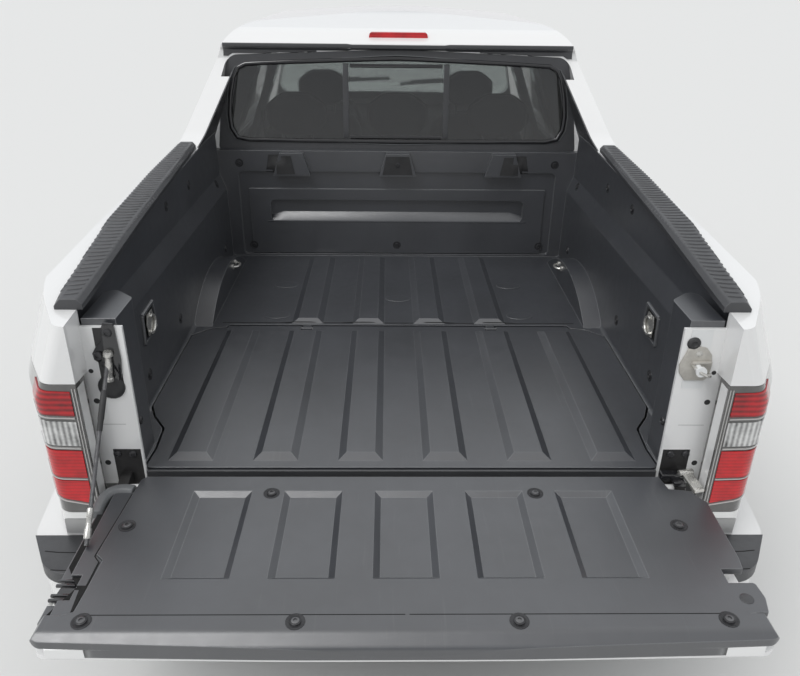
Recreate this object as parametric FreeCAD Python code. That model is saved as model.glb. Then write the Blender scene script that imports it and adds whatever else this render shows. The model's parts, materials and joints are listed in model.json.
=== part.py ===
import FreeCAD, Part
import math
import os

# A crew cab pickup truck with a one-piece body, seen with its tailgate lowered.
# Millimetres. X points to the truck's right, Y to its front and Z up from the ground.
# Shapes are drawn with y = 0 at the inner face of the closed tailgate, and moved at the end
# so that the origin lies on the ground under the middle of the truck.

# Overall sizes
FRONT_Y = 5105.0
BUMPER_REAR_Y = -150.0
BED_Z = 836.0
BED_LENGTH = 1524.0
BED_HALF = 690.0
CAB_REAR_Y = 1558.0
COWL_Y = 3690.0
SILL_Z = 300.0
FLOOR_Z = 420.0
BODY_HALF = 950.0
SHOULDER_HALF = BODY_HALF - 45.0
SHOULDER_Z = 1062.0
BELT_Z = 1140.0
# Past the body's side, for cutters that go right through it
BEYOND = BODY_HALF + 150.0
ROOF_Z = 1778.0
# Inward lean of the body side above the shoulder, in mm per mm of height
TUMBLEHOME = 0.373
PANEL_GAP = 7.0
SEAT_GAP = 0.3

# Wheels and steering
REAR_AXLE_Y = 1066.0
WHEELBASE = 3099.0
FRONT_AXLE_Y = REAR_AXLE_Y + WHEELBASE
TRACK_FRONT = 1704.0
TRACK_REAR = 1699.0
TYRE_R = 375.0
TYRE_WIDTH = 245.0
RIM_R = 216.0
RIM_WIDTH = 210.0
HUB_BORE_R = 32.0
ARCH_R = 442.0
FLARE_HALF = BODY_HALF + 38.0
FLARE_WIDTH = 62.0
BALL_X = TRACK_FRONT / 2 - 52.0
BALL_Z = 235.0
TOP_MOUNT_X = BALL_X - 160.0
TOP_MOUNT_Z = 930.0

# Doors
DOOR_DEPTH = 70.0
WALL_DEPTH = 130.0
POCKET_DEPTH = 98.0
DOOR_BOTTOM_Z = 345.0
DOOR_TOP_Z = 1652.0
FRONT_DOOR_Y = 3620.0
B_PILLAR_Y = 2600.0
REAR_DOOR_Y = 1660.0
HINGE_X = BODY_HALF - 20.0
HINGE_BACK = 50.0
# Slant of the doors' shut faces, so that the trailing edges swing clear
SHUT_SLANT = math.tan(math.radians(20.0))

# Tailgate
GATE_REACH = 500.0
GATE_HALF = BED_HALF + 7.0
GATE_DEPTH = 65.0
GATE_AXIS = 25.0
GATE_FRONT_Y = -17.0

# Lid of the trunk under the bed floor
LID_FRONT_Y = 825.0
LID_REAR_Y = 20.0
LID_HALF = BED_HALF - 10.0
LID_DEPTH = 36.0
LID_GAP = 6.0
RIB_PITCH = 207.0
RIB_HEIGHT = 11.0
TUB_DEPTH = 420.0

MIDDLE_Y = (FRONT_Y - GATE_REACH) / 2


def vec(x, y, z):
    return FreeCAD.Vector(x, y, z)


def place(plane, a, b, at):
    """A point in 3-D from a sketch: plane x holds (y, z), plane y holds (x, z), plane z holds (x, y)."""
    if plane == "x":
        return vec(at, a, b)
    if plane == "y":
        return vec(a, at, b)
    return vec(a, b, at)


def unit(a, b):
    length = math.hypot(a, b)
    return a / length, b / length


def outline(plane, at, corners):
    """Closed wire through corners (a, b, radius), where a corner with a radius is an arc."""
    cuts = []
    count = len(corners)
    for i, corner in enumerate(corners):
        a, b = corner[0], corner[1]
        radius = corner[2] if len(corner) > 2 else 0.0
        if radius <= 0.0:
            cuts.append(((a, b), None, (a, b)))
            continue
        before = corners[i - 1]
        after = corners[(i + 1) % count]
        u = unit(before[0] - a, before[1] - b)
        w = unit(after[0] - a, after[1] - b)
        half = math.acos(max(-1.0, min(1.0, u[0] * w[0] + u[1] * w[1]))) / 2
        run = radius / math.tan(half)
        middle = unit(u[0] + w[0], u[1] + w[1])
        reach = radius / math.sin(half) - radius
        cuts.append((
            (a + u[0] * run, b + u[1] * run),
            (a + middle[0] * reach, b + middle[1] * reach),
            (a + w[0] * run, b + w[1] * run),
        ))
    edges = []
    for i, (start, middle, end) in enumerate(cuts):
        if middle:
            points = [place(plane, p[0], p[1], at) for p in (start, middle, end)]
            edges.append(Part.Arc(*points).toShape())
        following = cuts[(i + 1) % count][0]
        if math.hypot(following[0] - end[0], following[1] - end[1]) > 1e-6:
            edges.append(Part.makeLine(place(plane, *end, at), place(plane, *following, at)))
    return Part.Wire(edges)


def prism(plane, corners, low, high, lean=(0.0, 0.0), seat=None):
    """Outline extruded from low to high; lean shifts it per mm, and it is as drawn at seat."""
    shift = 0.0 if seat is None else low - seat
    moved = [(c[0] + lean[0] * shift, c[1] + lean[1] * shift) + tuple(c[2:]) for c in corners]
    run = high - low
    return Part.Face(outline(plane, low, moved)).extrude(place(plane, lean[0] * run, lean[1] * run, run))


def box(x0, x1, y0, y1, z0, z1):
    return Part.makeBox(x1 - x0, y1 - y0, z1 - z0, vec(x0, y0, z0))


def rod(start, end, radius):
    """Round bar from one point to another."""
    run = end.sub(start)
    return Part.makeCylinder(radius, run.Length, start, run)


def tube_path(points, radius):
    """Round bar along straight runs, with a ball at each bend."""
    pieces = [rod(points[i], points[i + 1], radius) for i in range(len(points) - 1)]
    pieces += [Part.makeSphere(radius, p) for p in points[1:-1]]
    return join(pieces)


def join(shapes):
    if len(shapes) == 1:
        return shapes[0]
    return shapes[0].multiFuse(list(shapes[1:])).removeSplitter()


def cut(shape, *tools):
    for tool in tools:
        shape = shape.cut(tool)
    return shape


def largest(shape):
    """The main solid that a cut leaves, without the slivers beside it."""
    return max(shape.Solids, key=lambda solid: solid.Volume)


def flip(shape):
    """The same shape on the truck's left."""
    return shape.mirror(vec(0, 0, 0), vec(1, 0, 0))


def turned(shape, angle, centre, axis):
    copy = shape.copy()
    copy.rotate(centre, axis, angle)
    return copy


def save(name, *shapes):
    solids = [solid for shape in shapes for solid in shape.Solids]
    whole = solids[0].copy() if len(solids) == 1 else Part.makeCompound([s.copy() for s in solids])
    whole.translate(vec(0, -MIDDLE_Y, 0))
    whole.exportStep("parts/" + name + ".step")
    print(name, len(solids), "solids", round(sum(s.Volume for s in solids) / 1e6, 2), "litres",
          "valid" if whole.isValid() else "INVALID")


# Section of the body side, from the sill up: half width, height, corner radius
BODY_SIDE = [
    (878.0, SILL_Z, 0.0),
    (932.0, 430.0, 90.0),
    (BODY_HALF, 720.0, 600.0),
    (SHOULDER_HALF + TUMBLEHOME * 77.0, SHOULDER_Z - 77.0, 150.0),
    (SHOULDER_HALF, SHOULDER_Z, 0.0),
]
ROOF_EDGE = (SHOULDER_HALF - TUMBLEHOME * (1730.0 - SHOULDER_Z), 1730.0, 140.0)


def skin_x(z):
    """Half width of the body above the shoulder."""
    return SHOULDER_HALF - TUMBLEHOME * (z - SHOULDER_Z)


def body_section(inset, y0, y1, top=ROOF_Z):
    """The whole body's section, from sill to roof, as a bar along Y."""
    right = [(x - inset, z, r) for x, z, r in BODY_SIDE] + [(ROOF_EDGE[0] - inset, 1730.0 + top - ROOF_Z, 140.0)]
    left = [(-x, z, r) for x, z, r in reversed(right)]
    return prism("y", right + [(0.0, top, 3000.0)] + left, y0, y1)


def side_slab(outer, inner, y0, y1):
    """Wall of the right side between two depths below the outer skin, as a bar along Y."""
    top = (ROOF_EDGE[0], 1730.0, 0.0)
    rows = BODY_SIDE + [top]
    out = [(x - outer, z, r) for x, z, r in rows]
    back = [(x - inner, z, r) for x, z, r in reversed(rows)]
    return prism("y", out + back, y0, y1)


def seen(y, z):
    """Where a corner of the visible side view lies on the slanted cutter, drawn at the hinge line."""
    return y - (HINGE_X - (skin_x(z) if z > SHOULDER_Z else SHOULDER_HALF)) * SHUT_SLANT


def door_outline(corners):
    return [(seen(y, z), z, r) for y, z, r in corners]


def slanted(corners, low=400.0, high=BEYOND):
    return prism("x", corners, low, high, lean=(-SHUT_SLANT, 0.0), seat=HINGE_X)


def grown(corners, by):
    """Outline moved outwards by a clearance, as a wire's offset with sharp joins."""
    count = len(corners)
    area = sum(corners[i - 1][0] * corners[i][1] - corners[i][0] * corners[i - 1][1] for i in range(count))
    side = 1.0 if area > 0 else -1.0
    lines = []
    for i in range(count):
        a, b = corners[i], corners[(i + 1) % count]
        u = unit(b[0] - a[0], b[1] - a[1])
        lines.append((a[0] + side * u[1] * by, a[1] - side * u[0] * by, u[0], u[1]))
    result = []
    for i in range(count):
        x0, y0, u0, v0 = lines[i - 1]
        x1, y1, u1, v1 = lines[i]
        det = u0 * v1 - v0 * u1
        step = ((x1 - x0) * v1 - (y1 - y0) * u1) / det
        radius = corners[i][2]
        result.append((x0 + u0 * step, y0 + v0 * step, max(radius + by, 0.0) if radius else 0.0))
    return result


# Door outlines in the side view: y, z, corner radius
FRONT_DOOR = door_outline([
    (FRONT_DOOR_Y, DOOR_BOTTOM_Z, 40.0),
    (FRONT_DOOR_Y, SHOULDER_Z, 0.0),
    (FRONT_DOOR_Y - 25.0, BELT_Z + 15.0, 30.0),
    (2985.0, DOOR_TOP_Z - 5.0, 80.0),
    (B_PILLAR_Y, DOOR_TOP_Z, 12.0),
    (B_PILLAR_Y, SHOULDER_Z, 0.0),
    (B_PILLAR_Y, DOOR_BOTTOM_Z, 40.0),
])
REAR_DOOR = door_outline([
    (B_PILLAR_Y - PANEL_GAP, DOOR_BOTTOM_Z, 40.0),
    (B_PILLAR_Y - PANEL_GAP, SHOULDER_Z, 0.0),
    (B_PILLAR_Y - PANEL_GAP, DOOR_TOP_Z, 12.0),
    (REAR_DOOR_Y + 160.0, DOOR_TOP_Z - 12.0, 90.0),
    (REAR_DOOR_Y, SHOULDER_Z + 60.0, 60.0),
    (REAR_DOOR_Y, SHOULDER_Z - 200.0, 0.0),
    (REAR_DOOR_Y, DOOR_BOTTOM_Z, 60.0),
])
WHOLE_APERTURE = [
    FRONT_DOOR[0], FRONT_DOOR[1], FRONT_DOOR[2], FRONT_DOOR[3],
    (FRONT_DOOR[4][0], FRONT_DOOR[4][1], 0.0), REAR_DOOR[3], REAR_DOOR[4], REAR_DOOR[5], REAR_DOOR[6],
]
WINDOW_SILL_Z = BELT_Z + 22.0
WINDOW_HEAD_Z = DOOR_TOP_Z - 62.0
FRONT_WINDOW = door_outline([
    (FRONT_DOOR_Y - 160.0, WINDOW_SILL_Z, 25.0),
    (3030.0, WINDOW_HEAD_Z, 60.0),
    (B_PILLAR_Y + 50.0, WINDOW_HEAD_Z, 30.0),
    (B_PILLAR_Y + 50.0, WINDOW_SILL_Z, 25.0),
])
REAR_WINDOW = door_outline([
    (B_PILLAR_Y - PANEL_GAP - 50.0, WINDOW_SILL_Z, 25.0),
    (B_PILLAR_Y - PANEL_GAP - 50.0, WINDOW_HEAD_Z, 30.0),
    (REAR_DOOR_Y + 205.0, WINDOW_HEAD_Z, 60.0),
    (REAR_DOOR_Y + 75.0, WINDOW_SILL_Z, 25.0),
])


def hinge(lead_y, z):
    """Pocket in the door, the door's barrel and the pillar's barrel of one hinge."""
    y = lead_y - HINGE_BACK
    depth = 200.0
    height = 26.0
    pocket = box(HINGE_X - depth, HINGE_X + 12.0, y - 12.0, lead_y + 60.0, z - height - 5.0, z + height + 5.0)
    keep = 7.0
    own = rod(vec(HINGE_X, y, z - height), vec(HINGE_X, y, z - SEAT_GAP), keep)
    own = own.fuse(box(HINGE_X - 6.0, HINGE_X + 6.0, y - 14.0, y, z - height, z - SEAT_GAP))
    theirs = rod(vec(HINGE_X, y, z), vec(HINGE_X, y, z + height), keep)
    arm = prism("z", [
        (HINGE_X - 5.0, y + keep), (HINGE_X + 3.0, y - 5.0),
        (HINGE_X - 105.0, y + 22.0), (HINGE_X - 105.0, y + 62.0),
    ], z, z + height)
    return pocket, own, theirs.fuse(arm)


def door(corners, window, lead_y, handle_y):
    """A hollow door with its window cut, handle and hinges, on the right side."""
    slab = side_slab(0.0, DOOR_DEPTH, 1500.0, 3700.0)
    upper_trim = side_slab(DOOR_DEPTH - 25.0, DOOR_DEPTH + 1.0, 1500.0, 3700.0)
    upper_trim = upper_trim.common(box(0, 1000, 1500, 3700, BELT_Z + 10.0, 1800))
    panel = slab.common(slanted(corners)).cut(upper_trim)
    panel = panel.cut(slanted(window))
    barrels = []
    for z in HINGE_HEIGHTS:
        pocket, own, _ = hinge(lead_y, z)
        panel = panel.cut(pocket)
        barrels.append(own)
    recess = prism("x", [
        (handle_y - 95.0, 985.0, 28.0), (handle_y + 95.0, 985.0, 28.0),
        (handle_y + 95.0, 1042.0, 28.0), (handle_y - 95.0, 1042.0, 28.0),
    ], SHOULDER_HALF - 13.0, SHOULDER_HALF + 55.0)
    near, far = SHOULDER_HALF - 7.0, SHOULDER_HALF + 41.0
    grip = prism("z", [
        (near + 16.0, handle_y - 112.0), (far, handle_y - 88.0, 14.0), (far, handle_y + 88.0, 14.0),
        (near + 16.0, handle_y + 112.0), (near, handle_y + 112.0), (near, handle_y + 84.0),
        (far - 18.0, handle_y + 70.0, 8.0), (far - 18.0, handle_y - 70.0, 8.0), (near, handle_y - 84.0),
        (near, handle_y - 112.0),
    ], 1000.0, 1026.0)
    panel = panel.cut(recess)
    return join([panel, grip] + barrels)


HINGE_HEIGHTS = (560.0, 900.0)
GLASS_DEPTH = 22.0
GLASS = 5.0


def door_glass(window):
    """The pane in a door, let into its frame all round."""
    slab = side_slab(GLASS_DEPTH, GLASS_DEPTH + GLASS, 1500.0, 3700.0)
    return slab.common(slanted(grown(window, -SEAT_GAP)))


def bowed(centre_y, side_y, base_z, low, high, rake):
    """Room behind the windshield: a plan arc across the cab, run along the windshield's rake."""
    half = BODY_HALF + 50.0
    bow = centre_y - side_y
    radius = (half * half + bow * bow) / (2 * bow)
    edges = [
        Part.Arc(vec(-half, side_y, base_z), vec(0, centre_y, base_z), vec(half, side_y, base_z)).toShape(),
        Part.makeLine(vec(half, side_y, base_z), vec(half, -1000.0, base_z)),
        Part.makeLine(vec(half, -1000.0, base_z), vec(-half, -1000.0, base_z)),
        Part.makeLine(vec(-half, -1000.0, base_z), vec(-half, side_y, base_z)),
    ]
    face = Part.Face(Part.Wire(edges))
    face.translate(vec(0, -rake * (low - base_z), low - base_z))
    return face.extrude(vec(0, -rake * (high - low), high - low))


# Side view of the cab: roof line, windshield and rear wall
RAKE = 1.46
COWL_Z = 1190.0
COWL_SIDE_Y = 3470.0
def cab_room(inset):
    """The cab's outer solid, or its inner room when inset is more than 0."""
    section = body_section(inset, 1400.0, 3900.0, ROOF_Z - inset * 0.3)
    profile = [
        (CAB_REAR_Y + inset * 0.4, FLOOR_Z if inset else SILL_Z, 0.0),
        (CAB_REAR_Y + inset * 0.4, 1285.0, 0.0),
        (1611.0 + inset * 0.4, 1646.0 - inset * 0.3, 0.0),
        (1599.0 + inset * 0.5, 1652.0 - inset * 0.3, 0.0),
        (1599.0 + inset * 0.5, 1668.0 - inset * 0.3, 8.0),
        (1690.0 + inset * 0.4, 1713.0 - inset * 0.3, 200.0),
        (2010.0, 1772.0 - inset * 0.3, 900.0),
        (2700.0, 1782.0 - inset * 0.3, 1500.0),
        (2980.0 - inset * 0.2, 1712.0 - inset * 0.3, 90.0),
        (2980.0 + RAKE * 900.0, 812.0, 0.0),
        (2980.0 + RAKE * 900.0, FLOOR_Z if inset else SILL_Z, 0.0),
    ]
    whole = section.common(prism("x", profile, -BEYOND, BEYOND))
    glass_front = bowed(COWL_Y - inset * 0.5, COWL_SIDE_Y - inset * 0.5, COWL_Z, 200.0, 1800.0, RAKE)
    front = box(-BEYOND, BEYOND, 1000, 3700.0 - inset * 0.6, 0, 1900)
    return whole.common(glass_front).common(front)


def glass_opening(centre_y, side_y, depth):
    """A bowed sheet as thick as depth, parallel to the windshield."""
    outer = bowed(centre_y, side_y, COWL_Z, 1100.0, 1760.0, RAKE)
    inner = bowed(centre_y - depth, side_y - depth, COWL_Z, 1100.0, 1760.0, RAKE)
    return outer.cut(inner)


WINDSHIELD_FRONT = [
    (-735.0, 1236.0, 60.0), (735.0, 1236.0, 60.0), (575.0, 1668.0, 60.0), (-575.0, 1668.0, 60.0),
]
REAR_GLASS = [
    (-650.0, BED_Z + 476.0, 40.0), (650.0, BED_Z + 476.0, 40.0), (662.0, BED_Z + 570.0, 60.0),
    (624.0, BED_Z + 752.0, 50.0), (0.0, BED_Z + 776.0, 2500.0), (-624.0, BED_Z + 752.0, 50.0),
    (-662.0, BED_Z + 570.0, 60.0),
]
REAR_FRAME = [
    (-716.0, BED_Z + 437.0, 12.0), (716.0, BED_Z + 437.0, 12.0), (704.0, BED_Z + 560.0, 60.0),
    (664.0, BED_Z + 792.0, 50.0), (0.0, BED_Z + 817.0, 2500.0), (-664.0, BED_Z + 792.0, 50.0),
    (-704.0, BED_Z + 560.0, 60.0),
]
WINDOW_LEAN = (1611.0 - CAB_REAR_Y) / (1646.0 - 1285.0)


def rear_sheet(corners, front, back):
    """A sheet parallel to the rear window, from front to back mm behind its outer plane."""
    face = Part.Face(outline("y", CAB_REAR_Y, [(c[0], c[1]) + tuple(c[2:]) for c in corners]))
    face.rotate(vec(0, CAB_REAR_Y, 1285.0), vec(1, 0, 0), -math.degrees(math.atan(WINDOW_LEAN)))
    lean = math.atan(WINDOW_LEAN)
    normal = vec(0, math.cos(lean), -math.sin(lean))
    face.translate(normal * front)
    return face.extrude(normal * (back - front))


SILL_INNER = 660.0
FLOOR_DEPTH = 20.0


def cab_shell():
    shell = cab_room(0.0).cut(cab_room(WALL_DEPTH))
    arch = rod(vec(-BEYOND, FRONT_AXLE_Y, TYRE_R), vec(BEYOND, FRONT_AXLE_Y, TYRE_R), ARCH_R + 40.0)
    shell = shell.cut(arch)
    aperture = grown(WHOLE_APERTURE, PANEL_GAP)
    pocket = side_slab(-30.0, POCKET_DEPTH, 1500.0, 3750.0).common(slanted(aperture))
    for tool in (pocket, flip(pocket)):
        shell = shell.cut(tool)
    for corners in (grown(FRONT_DOOR, -58.0), grown(REAR_DOOR, -58.0)):
        hole = prism("x", corners, 400.0, BEYOND, lean=(-SHUT_SLANT, 0.0), seat=HINGE_X)
        shell = shell.cut(hole).cut(flip(hole))
    shell = shell.cut(prism("y", WINDSHIELD_FRONT, 2700.0, 3900.0))
    shell = shell.cut(rear_sheet(REAR_FRAME, -60.0, 160.0))
    front_wing = side_slab(-30.0, FENDER_DEPTH + SEAT_GAP, FRONT_DOOR_Y - 20.0, 3900.0)
    top = box(-BEYOND, BEYOND, HOOD_REAR_Y - TROUGH, 3900.0, TROUGH_Z, 1400.0)
    shell = cut(shell, front_wing, flip(front_wing), top)
    side = bed_side_room()
    under = box(-SILL_INNER, SILL_INNER, 1400.0, 3800.0, 0.0, FLOOR_Z - FLOOR_DEPTH)
    shell = cut(shell, side, flip(side), under, stop_lamp())
    tunnel = [(-118.0, FLOOR_Z - FLOOR_DEPTH), (-92.0, 512.0, 30.0), (92.0, 512.0, 30.0), (118.0, FLOOR_Z - FLOOR_DEPTH)]
    below = [(-102.0, 300.0), (-102.0, FLOOR_Z - FLOOR_DEPTH), (-78.0, 498.0, 24.0), (78.0, 498.0, 24.0),
             (102.0, FLOOR_Z - FLOOR_DEPTH), (102.0, 300.0)]
    shell = join([shell, prism("y", tunnel, CAB_REAR_Y + 10.0, 3690.0)]).cut(prism("y", below, 1400.0, 3800.0))
    arms = []
    for lead_y in (FRONT_DOOR_Y, B_PILLAR_Y - PANEL_GAP):
        for z in HINGE_HEIGHTS:
            arm = hinge(lead_y, z)[2]
            arms += [arm, flip(arm)]
    return largest(shell), arms


BED_INNER = BED_HALF + 46.0
RAIL_TOP = [(-62.0, 1246.0), (475.0, 1296.0), (1240.0, 1340.0)]
CAP_DEPTH = 24.0


def rail_z(y):
    """Height of the bed rail's top."""
    for (y0, z0), (y1, z1) in zip(RAIL_TOP, RAIL_TOP[1:]):
        if y <= y1:
            break
    return z0 + (y - y0) * (z1 - z0) / (y1 - y0)


SAIL_DEPTH = 82.0
LAMP_LOW_Z = 767.0
LAMP_HIGH_Z = 1111.0
CHIN_Y = -4.0
JAMB_Y = 6.0
JAMB_DEPTH = 14.0
# Plan of the rear corner at shoulder height: x, y, corner radius
CORNER_PLAN = [(500.0, -62.0, 0.0), (SHOULDER_HALF - 110.0, -62.0, 40.0), (SHOULDER_HALF, 130.0, 500.0),
               (BODY_HALF + 2.0, 520.0, 1500.0), (BODY_HALF + 2.0, 2000.0, 0.0), (500.0, 2000.0, 0.0)]


def bed_side_room():
    """Right bed side as a full block, from the wheel arch up to the rail and the sail panel."""
    low = [(BED_INNER, 470.0, 0.0), (932.0, 430.0, 0.0)] + BODY_SIDE[2:]
    high = [(skin_x(1700.0), 1700.0, 0.0), (skin_x(1700.0) - SAIL_DEPTH, 1700.0, 0.0),
            (BED_INNER, 1300.0, 0.0)]
    section = prism("y", low + high, -62.0, 1700.0)
    column = [(GATE_HALF + PANEL_GAP, 470.0, 0.0)] + low[1:] + high[:2] + [(GATE_HALF + PANEL_GAP, 1300.0, 0.0)]
    section = join([section, prism("y", column, -62.0, JAMB_DEPTH)])
    profile = [(-62.0, 400.0, 0.0)] + [(y, z, 0.0) for y, z in RAIL_TOP]
    profile += [(1330.0, 1372.0, 120.0), (1655.0, 1655.0, 60.0), (1690.0, 1668.0, 0.0)]
    profile += [(1690.0, SHOULDER_Z + 60.0, 0.0), (REAR_DOOR_Y - PANEL_GAP, SHOULDER_Z, 0.0),
                (REAR_DOOR_Y - PANEL_GAP, 400.0, 0.0)]
    block = section.common(prism("x", profile, 500.0, BEYOND))
    lower = prism("z", CORNER_PLAN, 300.0, SHOULDER_Z)
    upper = prism("z", CORNER_PLAN, SHOULDER_Z, 1720.0, lean=(-TUMBLEHOME, 0.0))
    return join([block.common(lower), block.common(upper)])


def lamp_region(grow=0.0):
    return prism("x", [
        (-80.0, LAMP_LOW_Z - grow, 0.0), (55.0 + grow, LAMP_LOW_Z + 8.0 - grow, 40.0),
        (112.0 + grow, LAMP_HIGH_Z - 14.0 + grow, 26.0), (-80.0, LAMP_HIGH_Z + grow, 0.0),
    ], GATE_HALF + PANEL_GAP - grow, BEYOND)


def arch_cut(axle_y, radius, x0=480.0, x1=BEYOND):
    return rod(vec(x0, axle_y, TYRE_R), vec(x1, axle_y, TYRE_R), radius)


def flare(axle_y, low_z):
    """Lip round a wheel arch, standing proud of the body side."""
    ring = rod(vec(BODY_HALF - 40.0, axle_y, TYRE_R), vec(FLARE_HALF, axle_y, TYRE_R), ARCH_R + FLARE_WIDTH)
    taper = Part.makeCone(ARCH_R + FLARE_WIDTH + 50.0, ARCH_R + 22.0, FLARE_HALF - BODY_HALF + 40.0,
                          vec(BODY_HALF - 40.0, axle_y, TYRE_R), vec(1, 0, 0))
    ring = ring.common(taper).cut(arch_cut(axle_y, ARCH_R))
    return ring.common(box(700, BEYOND, axle_y - 700, axle_y + 700, low_z, 1300))


def sail_trim():
    """Lining on the inner face of the right sail panel, beside the rear window."""
    room = bed_side_room()
    shifted = room.copy()
    shifted.translate(vec(5.0, 0.0, 0.0))
    trim = room.cut(shifted).common(box(500, 900, 1245.0, CAB_REAR_Y - 3.0, 1300.0, 1640.0))
    return largest(trim)


def grown_box(size, by):
    x0, x1, y0, y1, z0, z1 = size
    return box(x0 - by, x1 + by, y0 - by, y1 + by, z0 - by, z1 + by)


# Plates of the tailgate's hinge and its striker, let into the jamb: x, y and z limits
HINGE_PLATE = (BED_HALF - 73.0, BED_HALF - 9.0, JAMB_Y, JAMB_DEPTH - SEAT_GAP, 790.0, 898.0)
STRIKER_PLATE = (BED_HALF - 62.0, BED_HALF - 14.0, JAMB_Y - 0.5, JAMB_DEPTH - SEAT_GAP, BED_Z + 230.0, BED_Z + 376.0)


def bed_side():
    room = bed_side_room()
    shifted = room.copy()
    shifted.translate(vec(-26.0, 26.0, 0.0))
    hollow = shifted.common(box(BED_INNER + 30.0, BEYOND, 120.0, 1500.0, 400.0, 1190.0))
    side = room.cut(hollow)
    side = side.cut(lamp_region(1.0))
    side = side.cut(slanted(grown(REAR_DOOR, PANEL_GAP)))
    side = side.cut(rear_sheet(REAR_FRAME, -60.0, 160.0))
    side = side.cut(box(600, GATE_HALF + PANEL_GAP, -100, JAMB_Y, 300, 1700))
    jamb = box(BED_HALF - 78.0, BED_INNER + 4.0, JAMB_Y, JAMB_DEPTH, 800.0, 1215.0)
    jamb = cut(jamb, grown_box(HINGE_PLATE, SEAT_GAP), grown_box(STRIKER_PLATE, SEAT_GAP))
    lip = flare(REAR_AXLE_Y, 400.0).cut(box(700.0, BEYOND, CAB_REAR_Y - SEAT_GAP, 1700.0, 300.0, 500.0))
    side = join([side, jamb.cut(tail_lamp()), lip])
    side = side.cut(box(600, BEYOND, -100.0, BUMPER_FRONT_Y + 3.0, 300.0, BUMPER_HIGH_Z + 4.0))
    chin = prism("x", [(-90.0, 600.0), (CHIN_Y, 600.0), (CHIN_Y, BUMPER_HIGH_Z + 8.0), (-61.0, LAMP_LOW_Z - 6.0, 60.0),
                       (-90.0, LAMP_LOW_Z - 6.0)], 600.0, BEYOND)
    side = cut(side, arch_cut(REAR_AXLE_Y, ARCH_R), arch_cut(REAR_AXLE_Y, ARCH_R + LINER, 480.0, LINER_X), chin)
    return largest(side.cut(sail_trim()))


def tail_lamp():
    room = bed_side_room()
    shifted = room.copy()
    shifted.translate(vec(-48.0, 48.0, 0.0))
    return room.cut(shifted).common(lamp_region())


def lid_outline():
    right = [(LID_HALF, 741.0, 0.0), (LID_HALF, 302.0, 20.0), (LID_HALF - 22.0, 250.0, 20.0), (LID_HALF - 62.0, 191.0, 30.0),
             (LID_HALF - 68.0, 100.0, 0.0), (LID_HALF - 62.0, LID_REAR_Y, 10.0)]
    front = [(LID_HALF - 110.0, LID_FRONT_Y, 4.0), (LID_HALF - 106.0, LID_FRONT_Y - 20.0, 4.0),
             (LID_HALF - 53.0, LID_FRONT_Y - 29.0, 60.0)]
    left = [(-x, y, r) for x, y, r in reversed(front + right)]
    return front + right + left


def rib(x, y0, y1, wide, top, height, ends=24.0):
    """Raised rib along Y with sloping flanks and ends, standing on the bed floor."""
    low = [vec(x - wide / 2, y0, BED_Z - 1.0), vec(x + wide / 2, y0, BED_Z - 1.0),
           vec(x + wide / 2, y1, BED_Z - 1.0), vec(x - wide / 2, y1, BED_Z - 1.0)]
    high = [vec(x - top / 2, y0 + ends, BED_Z + height), vec(x + top / 2, y0 + ends, BED_Z + height),
            vec(x + top / 2, y1 - ends, BED_Z + height), vec(x - top / 2, y1 - ends, BED_Z + height)]
    wires = [Part.makePolygon(p + [p[0]]) for p in (low, high)]
    return Part.makeLoft(wires, True, True)


def trunk_lid():
    plate = prism("z", lid_outline(), BED_Z - LID_DEPTH, BED_Z)
    edge_half = LID_HALF - 111.0
    edge = rod(vec(-edge_half, LID_AXIS_Y, LID_AXIS_Z), vec(edge_half, LID_AXIS_Y, LID_AXIS_Z), 8.0)
    corner = box(-edge_half - 7.0, edge_half + 7.0, LID_FRONT_Y - 8.0, LID_FRONT_Y + 1.0, BED_Z - LID_DEPTH - 1.0, BED_Z + 1.0)
    plate = join([plate.cut(corner), edge])
    ribs = [rib((i - 2.5) * RIB_PITCH, 45.0, 785.0, 113.0, 70.0, RIB_HEIGHT) for i in range(6)]
    lid = join([plate] + ribs)
    for x in LID_HINGES:
        lid = lid.cut(box(x - 20.0, x + 20.0, LID_FRONT_Y - 34.0, LID_FRONT_Y + 10.0, 700, BED_Z + 1))
    pins = [rod(vec(x - 21.0, LID_AXIS_Y, LID_AXIS_Z), vec(x + 21.0, LID_AXIS_Y, LID_AXIS_Z), 5.0) for x in LID_HINGES]
    return join([lid] + pins)


LID_HINGES = (-310.0, 310.0)
LID_AXIS_Y = LID_FRONT_Y - 8.0
LID_AXIS_Z = BED_Z - 8.0


def lid_knuckle(x):
    """Fixed hinge eye of the lid, reaching back from the bed floor."""
    eye = rod(vec(x - 14.0, LID_AXIS_Y, LID_AXIS_Z), vec(x + 14.0, LID_AXIS_Y, LID_AXIS_Z), 12.0)
    web = box(x - 14.0, x + 14.0, LID_AXIS_Y, LID_FRONT_Y + 20.0, LID_AXIS_Z - 12.0, LID_AXIS_Z + 2.0)
    bore = rod(vec(x - 15.0, LID_AXIS_Y, LID_AXIS_Z), vec(x + 15.0, LID_AXIS_Y, LID_AXIS_Z), 5.0 + SEAT_GAP)
    return eye.fuse(web).cut(bore).cut(box(x - 15, x + 15, 700, 900, BED_Z - 1.0, 900))


HOUSE_HEIGHT = 100.0
HEADBOARD_Y = BED_LENGTH
HEADBOARD_TOP = BED_Z + 440.0


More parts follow.
